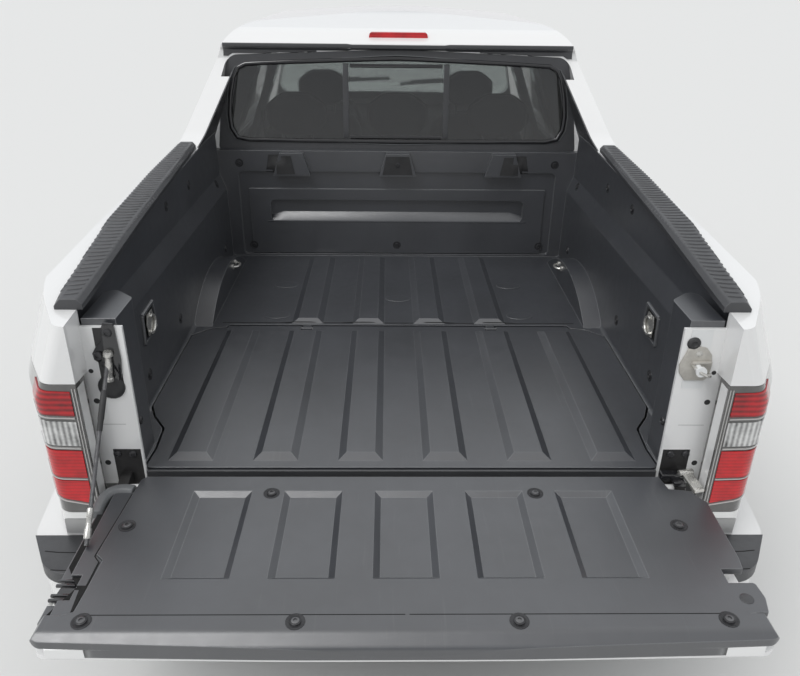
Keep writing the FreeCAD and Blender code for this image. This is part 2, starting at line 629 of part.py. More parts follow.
def bed_liner():
    floor_low = BED_Z - 24.0
    block = box(-BED_INNER, BED_INNER, JAMB_DEPTH, CAB_REAR_Y - 2.0, floor_low, 1400.0)
    top_line = [(y, rail_z(y)) for y in (JAMB_DEPTH, 475.0, 1240.0, CAB_REAR_Y - 2.0)]
    block = block.common(prism("x", [(JAMB_DEPTH, floor_low)] + top_line + [(CAB_REAR_Y - 2.0, floor_low)], -800, 800))
    side = bed_side_room()
    block = cut(block, side, flip(side))
    ledge_low = BED_Z + 285.0
    ledge_high = BED_Z + 345.0
    room = prism("y", [
        (-BED_HALF, BED_Z, 14.0), (BED_HALF, BED_Z, 14.0), (BED_HALF + 3.0, ledge_low, 20.0),
        (BED_HALF + 26.0, ledge_high, 20.0), (BED_HALF + 30.0, 1500.0),
        (-BED_HALF - 30.0, 1500.0), (-BED_HALF - 26.0, ledge_high, 20.0), (-BED_HALF - 3.0, ledge_low, 20.0),
    ], -100.0, HEADBOARD_Y)
    liner = block.cut(room).cut(box(-900, 900, HEADBOARD_Y - 5, 1600, HEADBOARD_TOP, 1500))
    posts = prism("z", [(BED_HALF - 65.0, JAMB_DEPTH), (BED_HALF - 65.0, 130.0, 20.0), (BED_HALF + 10.0, 200.0, 20.0),
                        (BED_HALF + 10.0, JAMB_DEPTH)], BED_Z - 24.0, BED_Z + 395.0)
    house = arch_cut(REAR_AXLE_Y + 66.0, BED_Z + HOUSE_HEIGHT - TYRE_R, BED_HALF - 62.0, BED_HALF + 20.0)
    house = house.common(box(0, 800, 700, 1500, BED_Z - 10.0, 1100))
    ribs = [rib(i * RIB_PITCH / 2, 838.0, 1500.0, 112.0, 64.0, RIB_HEIGHT) for i in (-3, -1, 1, 3)]
    recess = prism("y", [(-642.0, BED_Z + 9.0, 12.0), (642.0, BED_Z + 9.0, 12.0), (642.0, BED_Z + 357.0, 20.0),
                         (-642.0, BED_Z + 357.0, 20.0)], HEADBOARD_Y - 1.0, HEADBOARD_Y + 12.0)
    slot = prism("y", [(-520.0, BED_Z + 150.0, 20.0), (520.0, BED_Z + 150.0, 20.0), (520.0, BED_Z + 240.0, 20.0),
                       (-520.0, BED_Z + 240.0, 20.0)], HEADBOARD_Y - 1.0, HEADBOARD_Y + 22.0)
    panel = box(-604, 604, HEADBOARD_Y + 4.0, HEADBOARD_Y + 13.0, BED_Z + 12.0, BED_Z + 285.0)
    liner = join([liner, posts, flip(posts), house, flip(house)] + ribs)
    liner = join([liner.cut(recess), panel]).cut(slot)
    bumps = []
    for x in (-423.0, 0.0, 423.0):
        bumps.append(prism("y", [(x - 74.0, BED_Z + 345.0), (x + 74.0, BED_Z + 345.0), (x + 46.0, BED_Z + 434.0),
                                 (x - 46.0, BED_Z + 434.0)], HEADBOARD_Y - 26.0, HEADBOARD_Y + 14.0))
    opening = prism("z", grown([(x, y, r) for x, y, r in lid_outline()], LID_GAP), BED_Z - 100.0, BED_Z + 1.0)
    liner = join([liner] + bumps).cut(opening)
    liner = liner.cut(box(-SILL_HALF - SEAT_GAP, SILL_HALF + SEAT_GAP, -50, LID_REAR_Y - LID_GAP, 700, BED_Z + 1.0))
    knuckles = [lid_knuckle(x) for x in LID_HINGES]
    return join([liner] + knuckles)


def rail_cap():
    """Crowned cap on the right bed rail, a crescent from five sections along the rail."""
    stations = [(10.0, 0.0, 60.0), (60.0, 0.0, 68.0), (475.0, 10.0, 100.0), (860.0, 23.0, 108.0), (1240.0, 37.0, 104.0)]
    wires = []
    for y, start, end in stations:
        inner, outer, z = BED_HALF + start, BED_HALF + end, rail_z(y)
        wires.append(outline("y", y, [(inner, z + 0.3), (outer, z + 0.3), (outer, z + 8.0), (outer - 14.0, z + CAP_DEPTH, 12.0),
                                      (inner + 10.0, z + CAP_DEPTH, 8.0), (inner, z + 12.0)]))
    return Part.makeLoft(wires, True, True)


def gate_plan(inset):
    """Plan of the open tailgate's free end, corners rounded."""
    tip = -GATE_REACH + inset
    half = GATE_SKIN_HALF - inset
    return [(-half, 0.0), (-half, tip + 14.0, 30.0), (0.0, tip - 1.0, 9000.0), (half, tip + 14.0, 30.0), (half, 0.0)]


def gate_shell():
    """The tailgate lying open: its painted shell, outer skin downwards."""
    tip = -GATE_REACH
    skin = prism("x", [
        (GATE_FRONT_Y, BED_Z - 50.0), (GATE_FRONT_Y, BED_Z - GATE_DEPTH, 12.0), (tip + 60.0, BED_Z - GATE_DEPTH - 4.0, 60.0),
        (tip + 4.0, BED_Z - 57.0, 8.0), (tip + 4.0, BED_Z - 50.0),
    ], -GATE_SKIN_HALF, GATE_SKIN_HALF)
    skin = skin.common(prism("z", gate_plan(4.0), BED_Z - 80.0, BED_Z))
    core = prism("x", [
        (GATE_FRONT_Y, BED_Z - 14.0), (GATE_FRONT_Y, BED_Z - 52.0), (tip + 12.0, BED_Z - 52.0), (tip + 12.0, BED_Z - 30.0),
        (tip + 30.0, BED_Z - 14.0),
    ], -GATE_CORE_HALF, GATE_CORE_HALF)
    hinge_room = box(BED_HALF - 88.0, BED_HALF + 30.0, -64.0, 10.0, 700, 900)
    core = cut(core, hinge_room, flip(hinge_room))
    plate = join([skin, core])
    corner = box(BED_HALF - 50.0, BED_HALF + 30.0, -62.0, 10.0, 700, 900)
    latch = box(LATCH_X, 720.0, -392.0, -326.0, BED_Z - 46.0, BED_Z)
    plate = cut(plate, corner, flip(corner), flip(latch), striker_room())
    y, z = -GATE_AXIS, BED_Z - GATE_AXIS
    pin = rod(vec(BED_HALF - 96.0, y, z), vec(BED_HALF - 18.0, y, z), 8.0)
    return join([plate] + both(pin))


GATE_SKIN_HALF = BED_HALF
GATE_CORE_HALF = BED_HALF - 35.0
LATCH_X = BED_HALF - 49.0
STRIKER_X = BED_HALF - 39.0
STRIKER_Z = BED_Z + 290.0


def gate_y(z):
    """Where a height on the closed tailgate lies along the open one."""
    return -(z - BED_Z) - 2 * GATE_AXIS


def striker_room():
    """Recess in the open tailgate that takes the striker when it is closed."""
    y = gate_y(STRIKER_Z)
    return box(STRIKER_X - 18.0, STRIKER_X + 36.0, y - 19.0, y + 19.0, BED_Z - 42.0, BED_Z + 1.0)


def gate_liner():
    """Liner of the open tailgate with its sunk panels, its top edge cap and the cover of its left edge."""
    tip = -GATE_REACH
    left = [(-602.0, GATE_FRONT_Y), (-613.0, -30.0), (-629.0, -277.0), (-611.0, -293.0), (-618.0, -428.0), (-640.0, -436.0)]
    right = [(640.0, -436.0), (678.0, -433.0), (688.0, -398.0, 30.0), (685.0, -362.0, 8.0), (672.0, -353.0), (683.0, -290.0),
             (687.0, -112.0), (676.0, -96.0), (664.0, -71.0), (616.0, -64.0), (608.0, GATE_FRONT_Y)]
    plate = prism("z", left + right, BED_Z - 14.0, BED_Z)
    lip = prism("x", [(-436.0, BED_Z - 14.0), (-436.0, BED_Z), (tip + 28.0, BED_Z - 1.0, 22.0), (tip + 3.0, BED_Z - 20.0, 14.0),
                      (tip, BED_Z - 50.0 + SEAT_GAP, 6.0), (tip + 11.7, BED_Z - 50.0 + SEAT_GAP), (tip + 11.7, BED_Z - 30.0),
                      (tip + 30.0, BED_Z - 14.0)], -702.0, 702.0)
    ends = prism("y", [(-668.0, BED_Z), (-682.0, BED_Z - 18.0, 20.0), (-690.0, BED_Z - 60.0), (690.0, BED_Z - 60.0),
                       (682.0, BED_Z - 18.0, 20.0), (668.0, BED_Z)], -600.0, -400.0)
    lip = lip.common(ends).common(prism("z", gate_plan(0.0), BED_Z - 80.0, BED_Z + 1.0))
    under = BED_Z - 14.0 + SEAT_GAP
    cover = box(-686.0, -GATE_CORE_HALF - SEAT_GAP, -436.0, -66.0, BED_Z - 50.0 + SEAT_GAP, BED_Z - 22.0)
    shelf = box(-GATE_CORE_HALF - 8.0, -600.0, -436.0, -66.0, under, BED_Z - 8.0)
    web = box(-GATE_CORE_HALF - 8.0, -GATE_CORE_HALF - SEAT_GAP, -436.0, -66.0, BED_Z - 26.0, BED_Z - 8.0)
    latch = box(-720.0, -LATCH_X, -392.0, -326.0, BED_Z - 60.0, BED_Z)
    plate = join([plate, lip, cover, shelf, web]).cut(striker_room()).cut(latch)
    for i in range(5):
        plate = plate.cut(pocket_form((i - 2) * RIB_PITCH))
    return plate


def pocket_form(x):
    y0, y1 = -347.0, -69.0
    depth = 10.0
    low = [vec(x - 52.0, y0 + 14.0, BED_Z - depth), vec(x + 52.0, y0 + 14.0, BED_Z - depth),
           vec(x + 52.0, y1 - 14.0, BED_Z - depth), vec(x - 52.0, y1 - 14.0, BED_Z - depth)]
    high = [vec(x - 68.0, y0, BED_Z + 1.0), vec(x + 68.0, y0, BED_Z + 1.0),
            vec(x + 68.0, y1, BED_Z + 1.0), vec(x - 68.0, y1, BED_Z + 1.0)]
    return Part.makeLoft([Part.makePolygon(p + [p[0]]) for p in (low, high)], True, True)


def gate_hinge():
    """Hinge plate in the right jamb, with the arm that carries the tailgate's pin."""
    y, z = -GATE_AXIS, BED_Z - GATE_AXIS
    front = HINGE_PLATE[2] + 2.0
    arm = prism("x", [(y - 14.0, z - 14.0, 8.0), (front, z - 14.0), (front, BED_Z - 2.0, 4.0), (y + 16.0, BED_Z - 2.0, 6.0),
                      (y - 14.0, z + 14.0, 8.0)], BED_HALF - 46.0, BED_HALF - 22.0)
    return join([arm, box(*HINGE_PLATE)]).cut(rod(vec(BED_HALF - 70.0, y, z), vec(BED_HALF, y, z), 8.0 + SEAT_GAP))


def sill_panel():
    """Cross panel under the bed's rear edge, behind the trunk."""
    lip_y = LID_REAR_Y - LID_GAP
    form = [(8.0, 560.0), (TUB_REAR_Y - SEAT_GAP, 560.0), (TUB_REAR_Y - SEAT_GAP, TUB_TOP_Z), (lip_y, TUB_TOP_Z),
            (lip_y, BED_Z - 2.0), (8.0, BED_Z - 2.0)]
    return prism("x", form, -SILL_HALF, SILL_HALF)


SILL_HALF = BED_HALF - 79.0
TUB_HALF = BED_HALF - 50.0
TUB_REAR_Y = 40.0
TUB_FRONT_Y = 852.0
TUB_TOP_Z = BED_Z - LID_DEPTH - 8.0
TUB_WALL = 8.0


def trunk_tub():
    """Open box under the lid, its walls up to the floor of the bed."""
    low = BED_Z - TUB_DEPTH
    form = [(-TUB_HALF, TUB_REAR_Y, 60.0), (TUB_HALF, TUB_REAR_Y, 60.0), (TUB_HALF, TUB_FRONT_Y, 60.0),
            (-TUB_HALF, TUB_FRONT_Y, 60.0)]
    tub = prism("z", form, low, BED_Z - 24.0 - SEAT_GAP).cut(prism("z", grown(form, -TUB_WALL), low + TUB_WALL, BED_Z))
    return tub.cut(prism("z", grown(lid_outline(), LID_GAP), TUB_TOP_Z, BED_Z))


BUMPER_FRONT_Y = 600.0
BUMPER_HIGH_Z = 646.0
LINER = 6.0
LINER_X = 915.0


def arch_liner(axle_y, inner_x, low_z):
    """Plastic lining over a wheel, open below."""
    drum = arch_cut(axle_y, ARCH_R + LINER - SEAT_GAP, inner_x, LINER_X - 5.0)
    room = arch_cut(axle_y, ARCH_R, inner_x + LINER, LINER_X)
    lining = drum.cut(room).common(box(0, BEYOND, axle_y - 600, axle_y + 600, low_z, 1000))
    bed = box(0, BED_INNER + SEAT_GAP, -100.0, CAB_REAR_Y, BED_Z - 24.0 - SEAT_GAP, 1000.0)
    arm_hole = box(0, 730.0, REAR_AXLE_Y - 45.0, REAR_AXLE_Y + 45.0, 448.0, 494.0)
    spring_hole = rod(strut_point(520.0), strut_point(760.0), 61.0)
    return cut(lining, bed, arm_hole, spring_hole)


def rear_bumper_plan(inset):
    wide = BODY_HALF - 5.0 - inset
    right = [(wide, BUMPER_FRONT_Y), (wide, 250.0, 300.0), (wide - 33.0, 10.0, 100.0),
             (wide - 115.0, -126.0 + inset, 90.0), (640.0, BUMPER_REAR_Y + inset, 200.0)]
    return right + [(-c[0], c[1]) + tuple(c[2:]) for c in reversed(right)]


def rear_bumper_room(inset):
    body = prism("z", rear_bumper_plan(inset), 400.0 + inset * 0.3, BUMPER_HIGH_Z)
    profile = [(BUMPER_REAR_Y - 5.0, 800.0), (BUMPER_REAR_Y - 5.0, 470.0), (-110.0, 400.0, 30.0), (700.0, 400.0), (700.0, 800.0)]
    return body.common(prism("x", profile, -BEYOND, BEYOND))


def rear_bumper():
    hollow = rear_bumper_room(36.0).common(box(-BEYOND, BEYOND, -500, 700, 0, BUMPER_HIGH_Z - 36.0))
    shell = rear_bumper_room(0.0).cut(hollow)
    shell = shell.cut(box(-735.0, 735.0, 8.0, 700.0, 300.0, 700.0))
    wheel = arch_cut(REAR_AXLE_Y, ARCH_R + LINER, 480.0, BEYOND)
    pad = step_pad()
    return cut(shell, wheel, flip(wheel), pad, flip(pad))


PAD_DEPTH = 30.0
PAD_PROUD = 4.0


def step_pad():
    """Tread pad on the right corner of the rear bumper, wrapped over its edge."""
    low, high = BUMPER_HIGH_Z - PAD_DEPTH, BUMPER_HIGH_Z + PAD_PROUD
    form = prism("z", rear_bumper_plan(-PAD_PROUD), low, high)
    top = form.common(prism("z", [(700.0, CHIN_Y - 2.0), (700.0, -200.0), (1000.0, -200.0), (1000.0, -32.0),
                                  (912.0, CHIN_Y - 2.0, 60.0)], low, high))
    under = prism("z", rear_bumper_plan(14.0), low - 1.0, BUMPER_HIGH_Z - 6.0)
    return largest(top.cut(under))


CABLE_TOP = (-652.0, -7.0, 1130.0)
CABLE_END = (-662.0, -246.0, 831.4)
CABLE_R = 5.0


def gate_cable():
    """Stay cable on the left of the tailgate, from the bed's corner to the tailgate's edge."""
    return rod(vec(*CABLE_TOP), vec(*CABLE_END), CABLE_R)


def cable_bracket():
    """Bracket of the stay cable in the left jamb, with the pin that holds the cable's eye."""
    pin = rod(vec(-652.0, -8.0, 1144.0), vec(-652.0, 7.0, 1144.0), 9.0)
    return join([flip(box(*STRIKER_PLATE)), pin])


def striker():
    """Striker pin in the right jamb, on a plate sunk flush."""
    base = box(*STRIKER_PLATE)
    pin = rod(vec(STRIKER_X, -28.0, STRIKER_Z), vec(STRIKER_X, 7.0, STRIKER_Z), 8.0)
    head = rod(vec(STRIKER_X, -30.0, STRIKER_Z), vec(STRIKER_X, -25.0, STRIKER_Z), 12.0)
    return join([base, pin, head])


def latch_box():
    """Latch on the left edge of the tailgate."""
    low = BED_Z - 46.0 + SEAT_GAP
    inner = -LATCH_X - SEAT_GAP
    return prism("z", [(-680.0, -386.0, 10.0), (inner, -391.0), (inner, -327.0), (-674.0, -334.0, 10.0)], low, BED_Z - 18.0)


def stop_lamp():
    form = [(-116.0, 1676.0, 12.0), (116.0, 1676.0, 12.0), (112.0, 1708.0, 12.0), (-112.0, 1708.0, 12.0)]
    return prism("y", form, 1640.0, 1720.0)


MIRROR_X = 925.0
MIRROR_Y = 3330.0
MIRROR_Z = 1205.0


def mirror():
    """Door mirror on the right: a rounded housing on a short arm."""
    housing = prism("y", [(0.0, -82.0, 30.0), (176.0, -70.0, 46.0), (184.0, 74.0, 50.0), (8.0, 84.0, 30.0)], -44.0, 52.0)
    nose = prism("z", [(-20.0, -46.0), (210.0, -46.0), (210.0, -14.0, 30.0), (150.0, 48.0, 60.0), (-20.0, 30.0)], -120.0, 120.0)
    housing = housing.common(nose)
    recess = prism("y", [(12.0, -70.0, 24.0), (166.0, -58.0, 40.0), (172.0, 62.0, 42.0), (18.0, 72.0, 24.0)], -60.0, -36.0)
    housing = housing.cut(recess)
    arm = prism("y", [(-80.0, -64.0), (30.0, -60.0), (30.0, -20.0), (-80.0, -30.0)], -14.0, 26.0)
    body = join([housing, arm])
    body.translate(vec(MIRROR_X, MIRROR_Y, MIRROR_Z))
    return body


def rear_suspension():
    x = TRACK_REAR / 2
    stub = rod(vec(x - 64.0, 0, 0), vec(x + 73.0, 0, 0), HUB_BORE_R - SEAT_GAP)
    stub.translate(vec(0, REAR_AXLE_Y, TYRE_R))
    upright = prism("x", [(REAR_AXLE_Y - 50.0, 250.0, 14.0), (REAR_AXLE_Y + 50.0, 250.0, 14.0), (REAR_AXLE_Y + 66.0, TYRE_R, 40.0),
                          (REAR_AXLE_Y + 40.0, 500.0, 14.0), (REAR_AXLE_Y - 40.0, 500.0, 14.0),
                          (REAR_AXLE_Y - 66.0, TYRE_R, 40.0)], x - 100.0, x - 60.0)
    low = prism("z", [(x - 90.0, REAR_AXLE_Y - 30.0), (x - 90.0, REAR_AXLE_Y + 30.0), (330.0, REAR_AXLE_Y + 70.0),
                      (330.0, REAR_AXLE_Y - 70.0)], 262.0, 290.0)
    high = prism("z", [(x - 90.0, REAR_AXLE_Y - 20.0), (x - 90.0, REAR_AXLE_Y + 20.0), (330.0, REAR_AXLE_Y + 40.0),
                       (330.0, REAR_AXLE_Y - 40.0)], 460.0, 482.0)
    trail = tube_path([vec(x - 84.0, REAR_AXLE_Y + 40.0, 330.0), vec(640.0, 1330.0, 380.0), vec(470.0, 1480.0, 420.0)], 22.0)
    damper = rod(vec(560.0, REAR_AXLE_Y - 20.0, 285.0), vec(560.0, REAR_AXLE_Y - 20.0, 560.0), 24.0)
    spring = rod(vec(560.0, REAR_AXLE_Y - 20.0, 350.0), vec(560.0, REAR_AXLE_Y - 20.0, 700.0), 52.0)
    mount = box(480.0 + SEAT_GAP, 620.0, REAR_AXLE_Y - 90.0, REAR_AXLE_Y + 50.0, 690.0, 760.0)
    brace = box(480.0 + SEAT_GAP, 520.0, REAR_AXLE_Y - 90.0, REAR_AXLE_Y + 50.0, 500.0, 700.0)
    bar = box(-360.0, 360.0, REAR_AXLE_Y - 70.0, REAR_AXLE_Y + 70.0, 420.0, 500.0)
    web = box(310.0, 360.0, REAR_AXLE_Y - 70.0, REAR_AXLE_Y + 70.0, 255.0, 500.0)
    half_shaft = rod(vec(100.0, REAR_AXLE_Y, TYRE_R), vec(x - 60.0, REAR_AXLE_Y, TYRE_R), 18.0)
    drive = prism("x", [(REAR_AXLE_Y - 90.0, 300.0, 40.0), (REAR_AXLE_Y + 90.0, 300.0, 40.0), (SHAFT_END_Y, 350.0, 10.0),
                        (SHAFT_END_Y, 424.0), (REAR_AXLE_Y - 66.0, 424.0)], -110.0, 110.0)
    parts = [stub, upright, low, high, trail, damper, spring, mount, brace, web, half_shaft]
    return join([bar, drive] + [p for q in parts for p in both(q)])


SHAFT_END_Y = 1200.0
SHAFT_Z = 366.0


def drivetrain():
    """Engine and gearbox block, propeller shaft, rear final drive and half shafts."""
    block = prism("x", [(3830.0, 430.0, 40.0), (4560.0, 400.0, 40.0), (4600.0, 700.0, 60.0), (4520.0, 960.0, 60.0),
                        (3960.0, 1000.0, 60.0), (3800.0, 720.0, 60.0)], -350.0, 350.0)
    shaft = tube_path([vec(0, 3850.0, 446.0), vec(0, 2700.0, SHAFT_Z), vec(0, SHAFT_END_Y + SEAT_GAP, SHAFT_Z)], 34.0)
    return block, shaft.cut(block)


def exhaust():
    return tube_path([vec(250.0, 3860.0, 420.0), vec(240.0, 3500.0, 262.0), vec(240.0, 1500.0, 262.0),
                      vec(420.0, 1250.0, 300.0)], 28.0)


WHEEL_TILT = 25.0
STEERING_CENTRE = (-380.0, 3190.0, 1090.0)


def steering_axis():
    """Direction from the steering column to the driver."""
    tilt = math.radians(WHEEL_TILT)
    return vec(0, -math.cos(tilt), math.sin(tilt))


def steering_wheel():
    ring = Part.makeTorus(176.0, 14.0)
    hub = Part.makeCylinder(52.0, 40.0, vec(0, 0, -26.0))
    arms = [rod(vec(0, 0, -4.0), vec(168.0 * math.cos(a), 168.0 * math.sin(a), -2.0), 11.0)
            for a in (math.radians(-8.0), math.radians(188.0), math.radians(270.0))]
    wheel = join([ring, hub] + arms)
    wheel.rotate(vec(0, 0, 0), vec(1, 0, 0), 90.0 - WHEEL_TILT)
    wheel.translate(vec(*STEERING_CENTRE))
    return wheel


def nose_room():
    """Everything inside the front body's skin: fenders, bonnet and nose in one block."""
    right = [(878.0, 240.0, 0.0), (932.0, 430.0, 90.0), (BODY_HALF, 740.0, 500.0), (936.0, 1010.0, 110.0),
             (885.0, 1100.0, 60.0), (742.0, 1168.0, 160.0)]
    section = right + [(0.0, 1200.0, 2500.0)] + [(-x, z, r) for x, z, r in reversed(right)]
    body = prism("y", section, 3500.0, 5200.0, lean=(0.0, NOSE_SLOPE), seat=COWL_Y)
    plan_right = [(BODY_HALF + 50.0, 3500.0, 0.0), (BODY_HALF + 50.0, 4400.0, 0.0), (BODY_HALF - 50.0, 4930.0, 260.0),
                  (640.0, 5055.0, 300.0)]
    plan = plan_right + [(0.0, 5085.0, 2500.0)] + [(-x, y, r) for x, y, r in reversed(plan_right)]
    body = body.common(prism("z", plan, 200.0, 1400.0))
    profile = [(3400.0, SILL_Z), (3400.0, 1300.0), (4900.0, 1300.0), (4960.0, 1092.0, 60.0), (5046.0, 1000.0, 60.0),
               (5085.0, 800.0, 0.0), (5085.0, SILL_Z, 0.0)]
    return body.common(prism("x", profile, -BEYOND, BEYOND))


NOSE_SLOPE = -0.092
HOOD_HALF = 738.0
HOOD_REAR_Y = 3668.0
HOOD_FRONT_Y = 4972.0
HOOD_DEPTH = 28.0
HOOD_AXIS_Y = HOOD_REAR_Y + 8.0
HOOD_AXIS_Z = 1146.0
HOOD_HINGE_X = 600.0
TROUGH = 42.0
TROUGH_Z = 1112.0
BUMPER_TOP_Z = 782.0
LAMP_BASE_Z = 868.0
GRILLE_HALF = 452.0
FENDER_DEPTH = 30.0
BUMPER_END_Y = 4600.0


def hood_hinges():
    """The hood's lug on the right, the fixed post with its pin, and the room they need in the hood."""
    y, z, x = HOOD_AXIS_Y, HOOD_AXIS_Z, HOOD_HINGE_X
    lug = prism("x", [(y - 9.0, z - 9.0, 8.0), (y + 9.0, z - 9.0, 8.0), (y + 22.0, z + 16.0), (y - 4.0, z + 16.0)], x, x + 10.0)
    post = prism("x", [(y - 7.0, TROUGH_Z - 1.0), (y + 7.0, TROUGH_Z - 1.0), (y + 7.0, z + 7.0, 6.9),
                       (y - 7.0, z + 7.0, 6.9)], x - 14.0, x - SEAT_GAP)
    pocket = box(x - 20.0, x, HOOD_REAR_Y - 1.0, y + 20.0, 1000.0, z + 13.0)
    bore = rod(vec(x - 1.0, y, z), vec(x + 15.0, y, z), 5.0 + SEAT_GAP)
    return lug, post.fuse(rod(vec(x - 8.0, y, z), vec(x + 10.0, y, z), 5.0)), pocket.fuse(bore)


def front_body():
    room = nose_room()
    below = room.copy()
    below.translate(vec(0, 0, -HOOD_DEPTH))
    hood = room.common(box(-HOOD_HALF, HOOD_HALF, HOOD_REAR_Y, HOOD_FRONT_Y, 960.0, 1400.0)).cut(below)
    back = room.copy()
    back.translate(vec(-FENDER_DEPTH, -40.0, -HOOD_DEPTH))
    shell = room.cut(back).common(box(300.0, BEYOND, FRONT_DOOR_Y - 60.0, 5200.0, 330.0, 1400.0))
    side_hood = box(-HOOD_HALF - PANEL_GAP, HOOD_HALF + PANEL_GAP, 3400.0, HOOD_FRONT_Y + PANEL_GAP, 930.0, 1400.0)
    nose = box(300, BEYOND, 4990.0, 5200, 300, 1400)
    fender = shell.cut(side_hood).cut(nose)
    fender = fender.cut(slanted(grown(FRONT_DOOR, PANEL_GAP)))
    fender = fender.cut(box(300, BEYOND, 3000, FRONT_DOOR_Y + PANEL_GAP, 300, SHOULDER_Z + 100.0))
    fender = cut(fender, arch_cut(FRONT_AXLE_Y, ARCH_R), arch_cut(FRONT_AXLE_Y, ARCH_R + LINER, 480.0, LINER_X))
    lamp_form = [(4800.0, LAMP_BASE_Z + 30.0, 20.0), (5200.0, LAMP_BASE_Z - 20.0, 0.0), (5200.0, 1090.0, 0.0),
                 (4960.0, 1052.0, 0.0), (4770.0, 1010.0, 40.0)]
    lamp_zone = prism("x", lamp_form, GRILLE_HALF + 12.0, BEYOND)
    lamp_back = room.copy()
    lamp_back.translate(vec(-70.0, -70.0, 0.0))
    lamp = room.cut(lamp_back).common(lamp_zone).cut(side_hood)
    fender = fender.cut(prism("x", grown(lamp_form, 3.0), GRILLE_HALF, BEYOND))
    fender = fender.cut(box(300.0, BEYOND, BUMPER_END_Y, 5300.0, 300.0, LAMP_BASE_Z + SEAT_GAP))
    bumper = bumper_room(0.0).cut(bumper_room(45.0))
    bumper = bumper.cut(box(-BEYOND, BEYOND, 4300.0, BUMPER_END_Y + SEAT_GAP, 200.0, 900.0))
    bumper = cut(bumper, box(-GRILLE_HALF - 9.0, GRILLE_HALF + 9.0, 4900.0, 5300.0, BUMPER_TOP_Z, 900.0))
    mouth = prism("y", [(-520.0, 420.0, 30.0), (520.0, 420.0, 30.0), (600.0, 560.0, 30.0), (-600.0, 560.0, 30.0)], 4900.0, 5300.0)
    bars = [box(-640.0, 640.0, 5035.0, 5062.0, 446.0 + 36.0 * i, 456.0 + 36.0 * i) for i in range(3)]
    bumper = cut(bumper, mouth)
    wheel = arch_cut(FRONT_AXLE_Y, ARCH_R)
    lining = arch_cut(FRONT_AXLE_Y, ARCH_R + LINER, 480.0, LINER_X)
    bumper = cut(bumper, wheel, flip(wheel), lining, flip(lining), lamp, flip(lamp))
    grille_zone = box(-GRILLE_HALF, GRILLE_HALF, 4985.0, 5200.0, BUMPER_TOP_Z + SEAT_GAP, 1100.0)
    grille_back = room.copy()
    grille_back.translate(vec(0, -40.0, 0))
    frame = room.cut(grille_back).common(grille_zone).cut(side_hood)
    hole = prism("y", [(-GRILLE_HALF + 26.0, 826.0, 20.0), (GRILLE_HALF - 26.0, 826.0, 20.0),
                       (GRILLE_HALF - 40.0, 985.0, 20.0), (-GRILLE_HALF + 40.0, 985.0, 20.0)], 4900.0, 5300.0)
    slats = room.cut(grille_back).common(grille_zone)
    bands = [box(-GRILLE_HALF, GRILLE_HALF, 4900, 5300, 850.0 + 42.0 * i, 864.0 + 42.0 * i) for i in range(3)]
    slats = [slats.common(b) for b in bands]
    grille = join([frame.cut(hole)] + slats)
    return hood, largest(fender), lamp, bumper, bars, grille


def bumper_room(inset):
    plan_right = [(962.0 - inset, 4400.0, 0.0), (940.0 - inset, 4850.0, 240.0), (720.0 - inset, 5072.0 - inset, 260.0)]
    plan = plan_right + [(0.0, FRONT_Y - inset, 2600.0)] + [(-x, y, r) for x, y, r in reversed(plan_right)]
    body = prism("z", plan, 320.0 - inset, 900.0)
    profile = [(4400.0, 320.0 - inset), (5050.0 - inset, 320.0 - inset, 30.0), (FRONT_Y - inset, 430.0, 80.0),
               (FRONT_Y - inset, 640.0, 120.0), (5062.0 - inset, LAMP_BASE_Z + inset), (4400.0, LAMP_BASE_Z + inset)]
    return body.common(prism("x", profile, -BEYOND, BEYOND))


def tyre():
    """Tyre on the YZ plane, centred on the wheel's axle."""
    half = TYRE_WIDTH / 2
    bead = RIM_WIDTH / 2 - 8.0 - SEAT_GAP
    seat_r = RIM_R + SEAT_GAP
    right = [(0.0, TYRE_R, 0.0), (half - 6.0, TYRE_R - 12.0, 18.0), (half, RIM_R + 62.0, 60.0),
             (RIM_WIDTH / 2 - 1.0, RIM_R + 10.0 + SEAT_GAP, 0.0), (bead, RIM_R + 10.0 + SEAT_GAP, 0.0), (bead, seat_r, 0.0)]
    rows = right + [(-x, r, c) for x, r, c in reversed(right[1:])]
    face = Part.Face(outline("y", 0.0, rows))
    return face.revolve(vec(0, 0, 0), vec(1, 0, 0), 360.0)


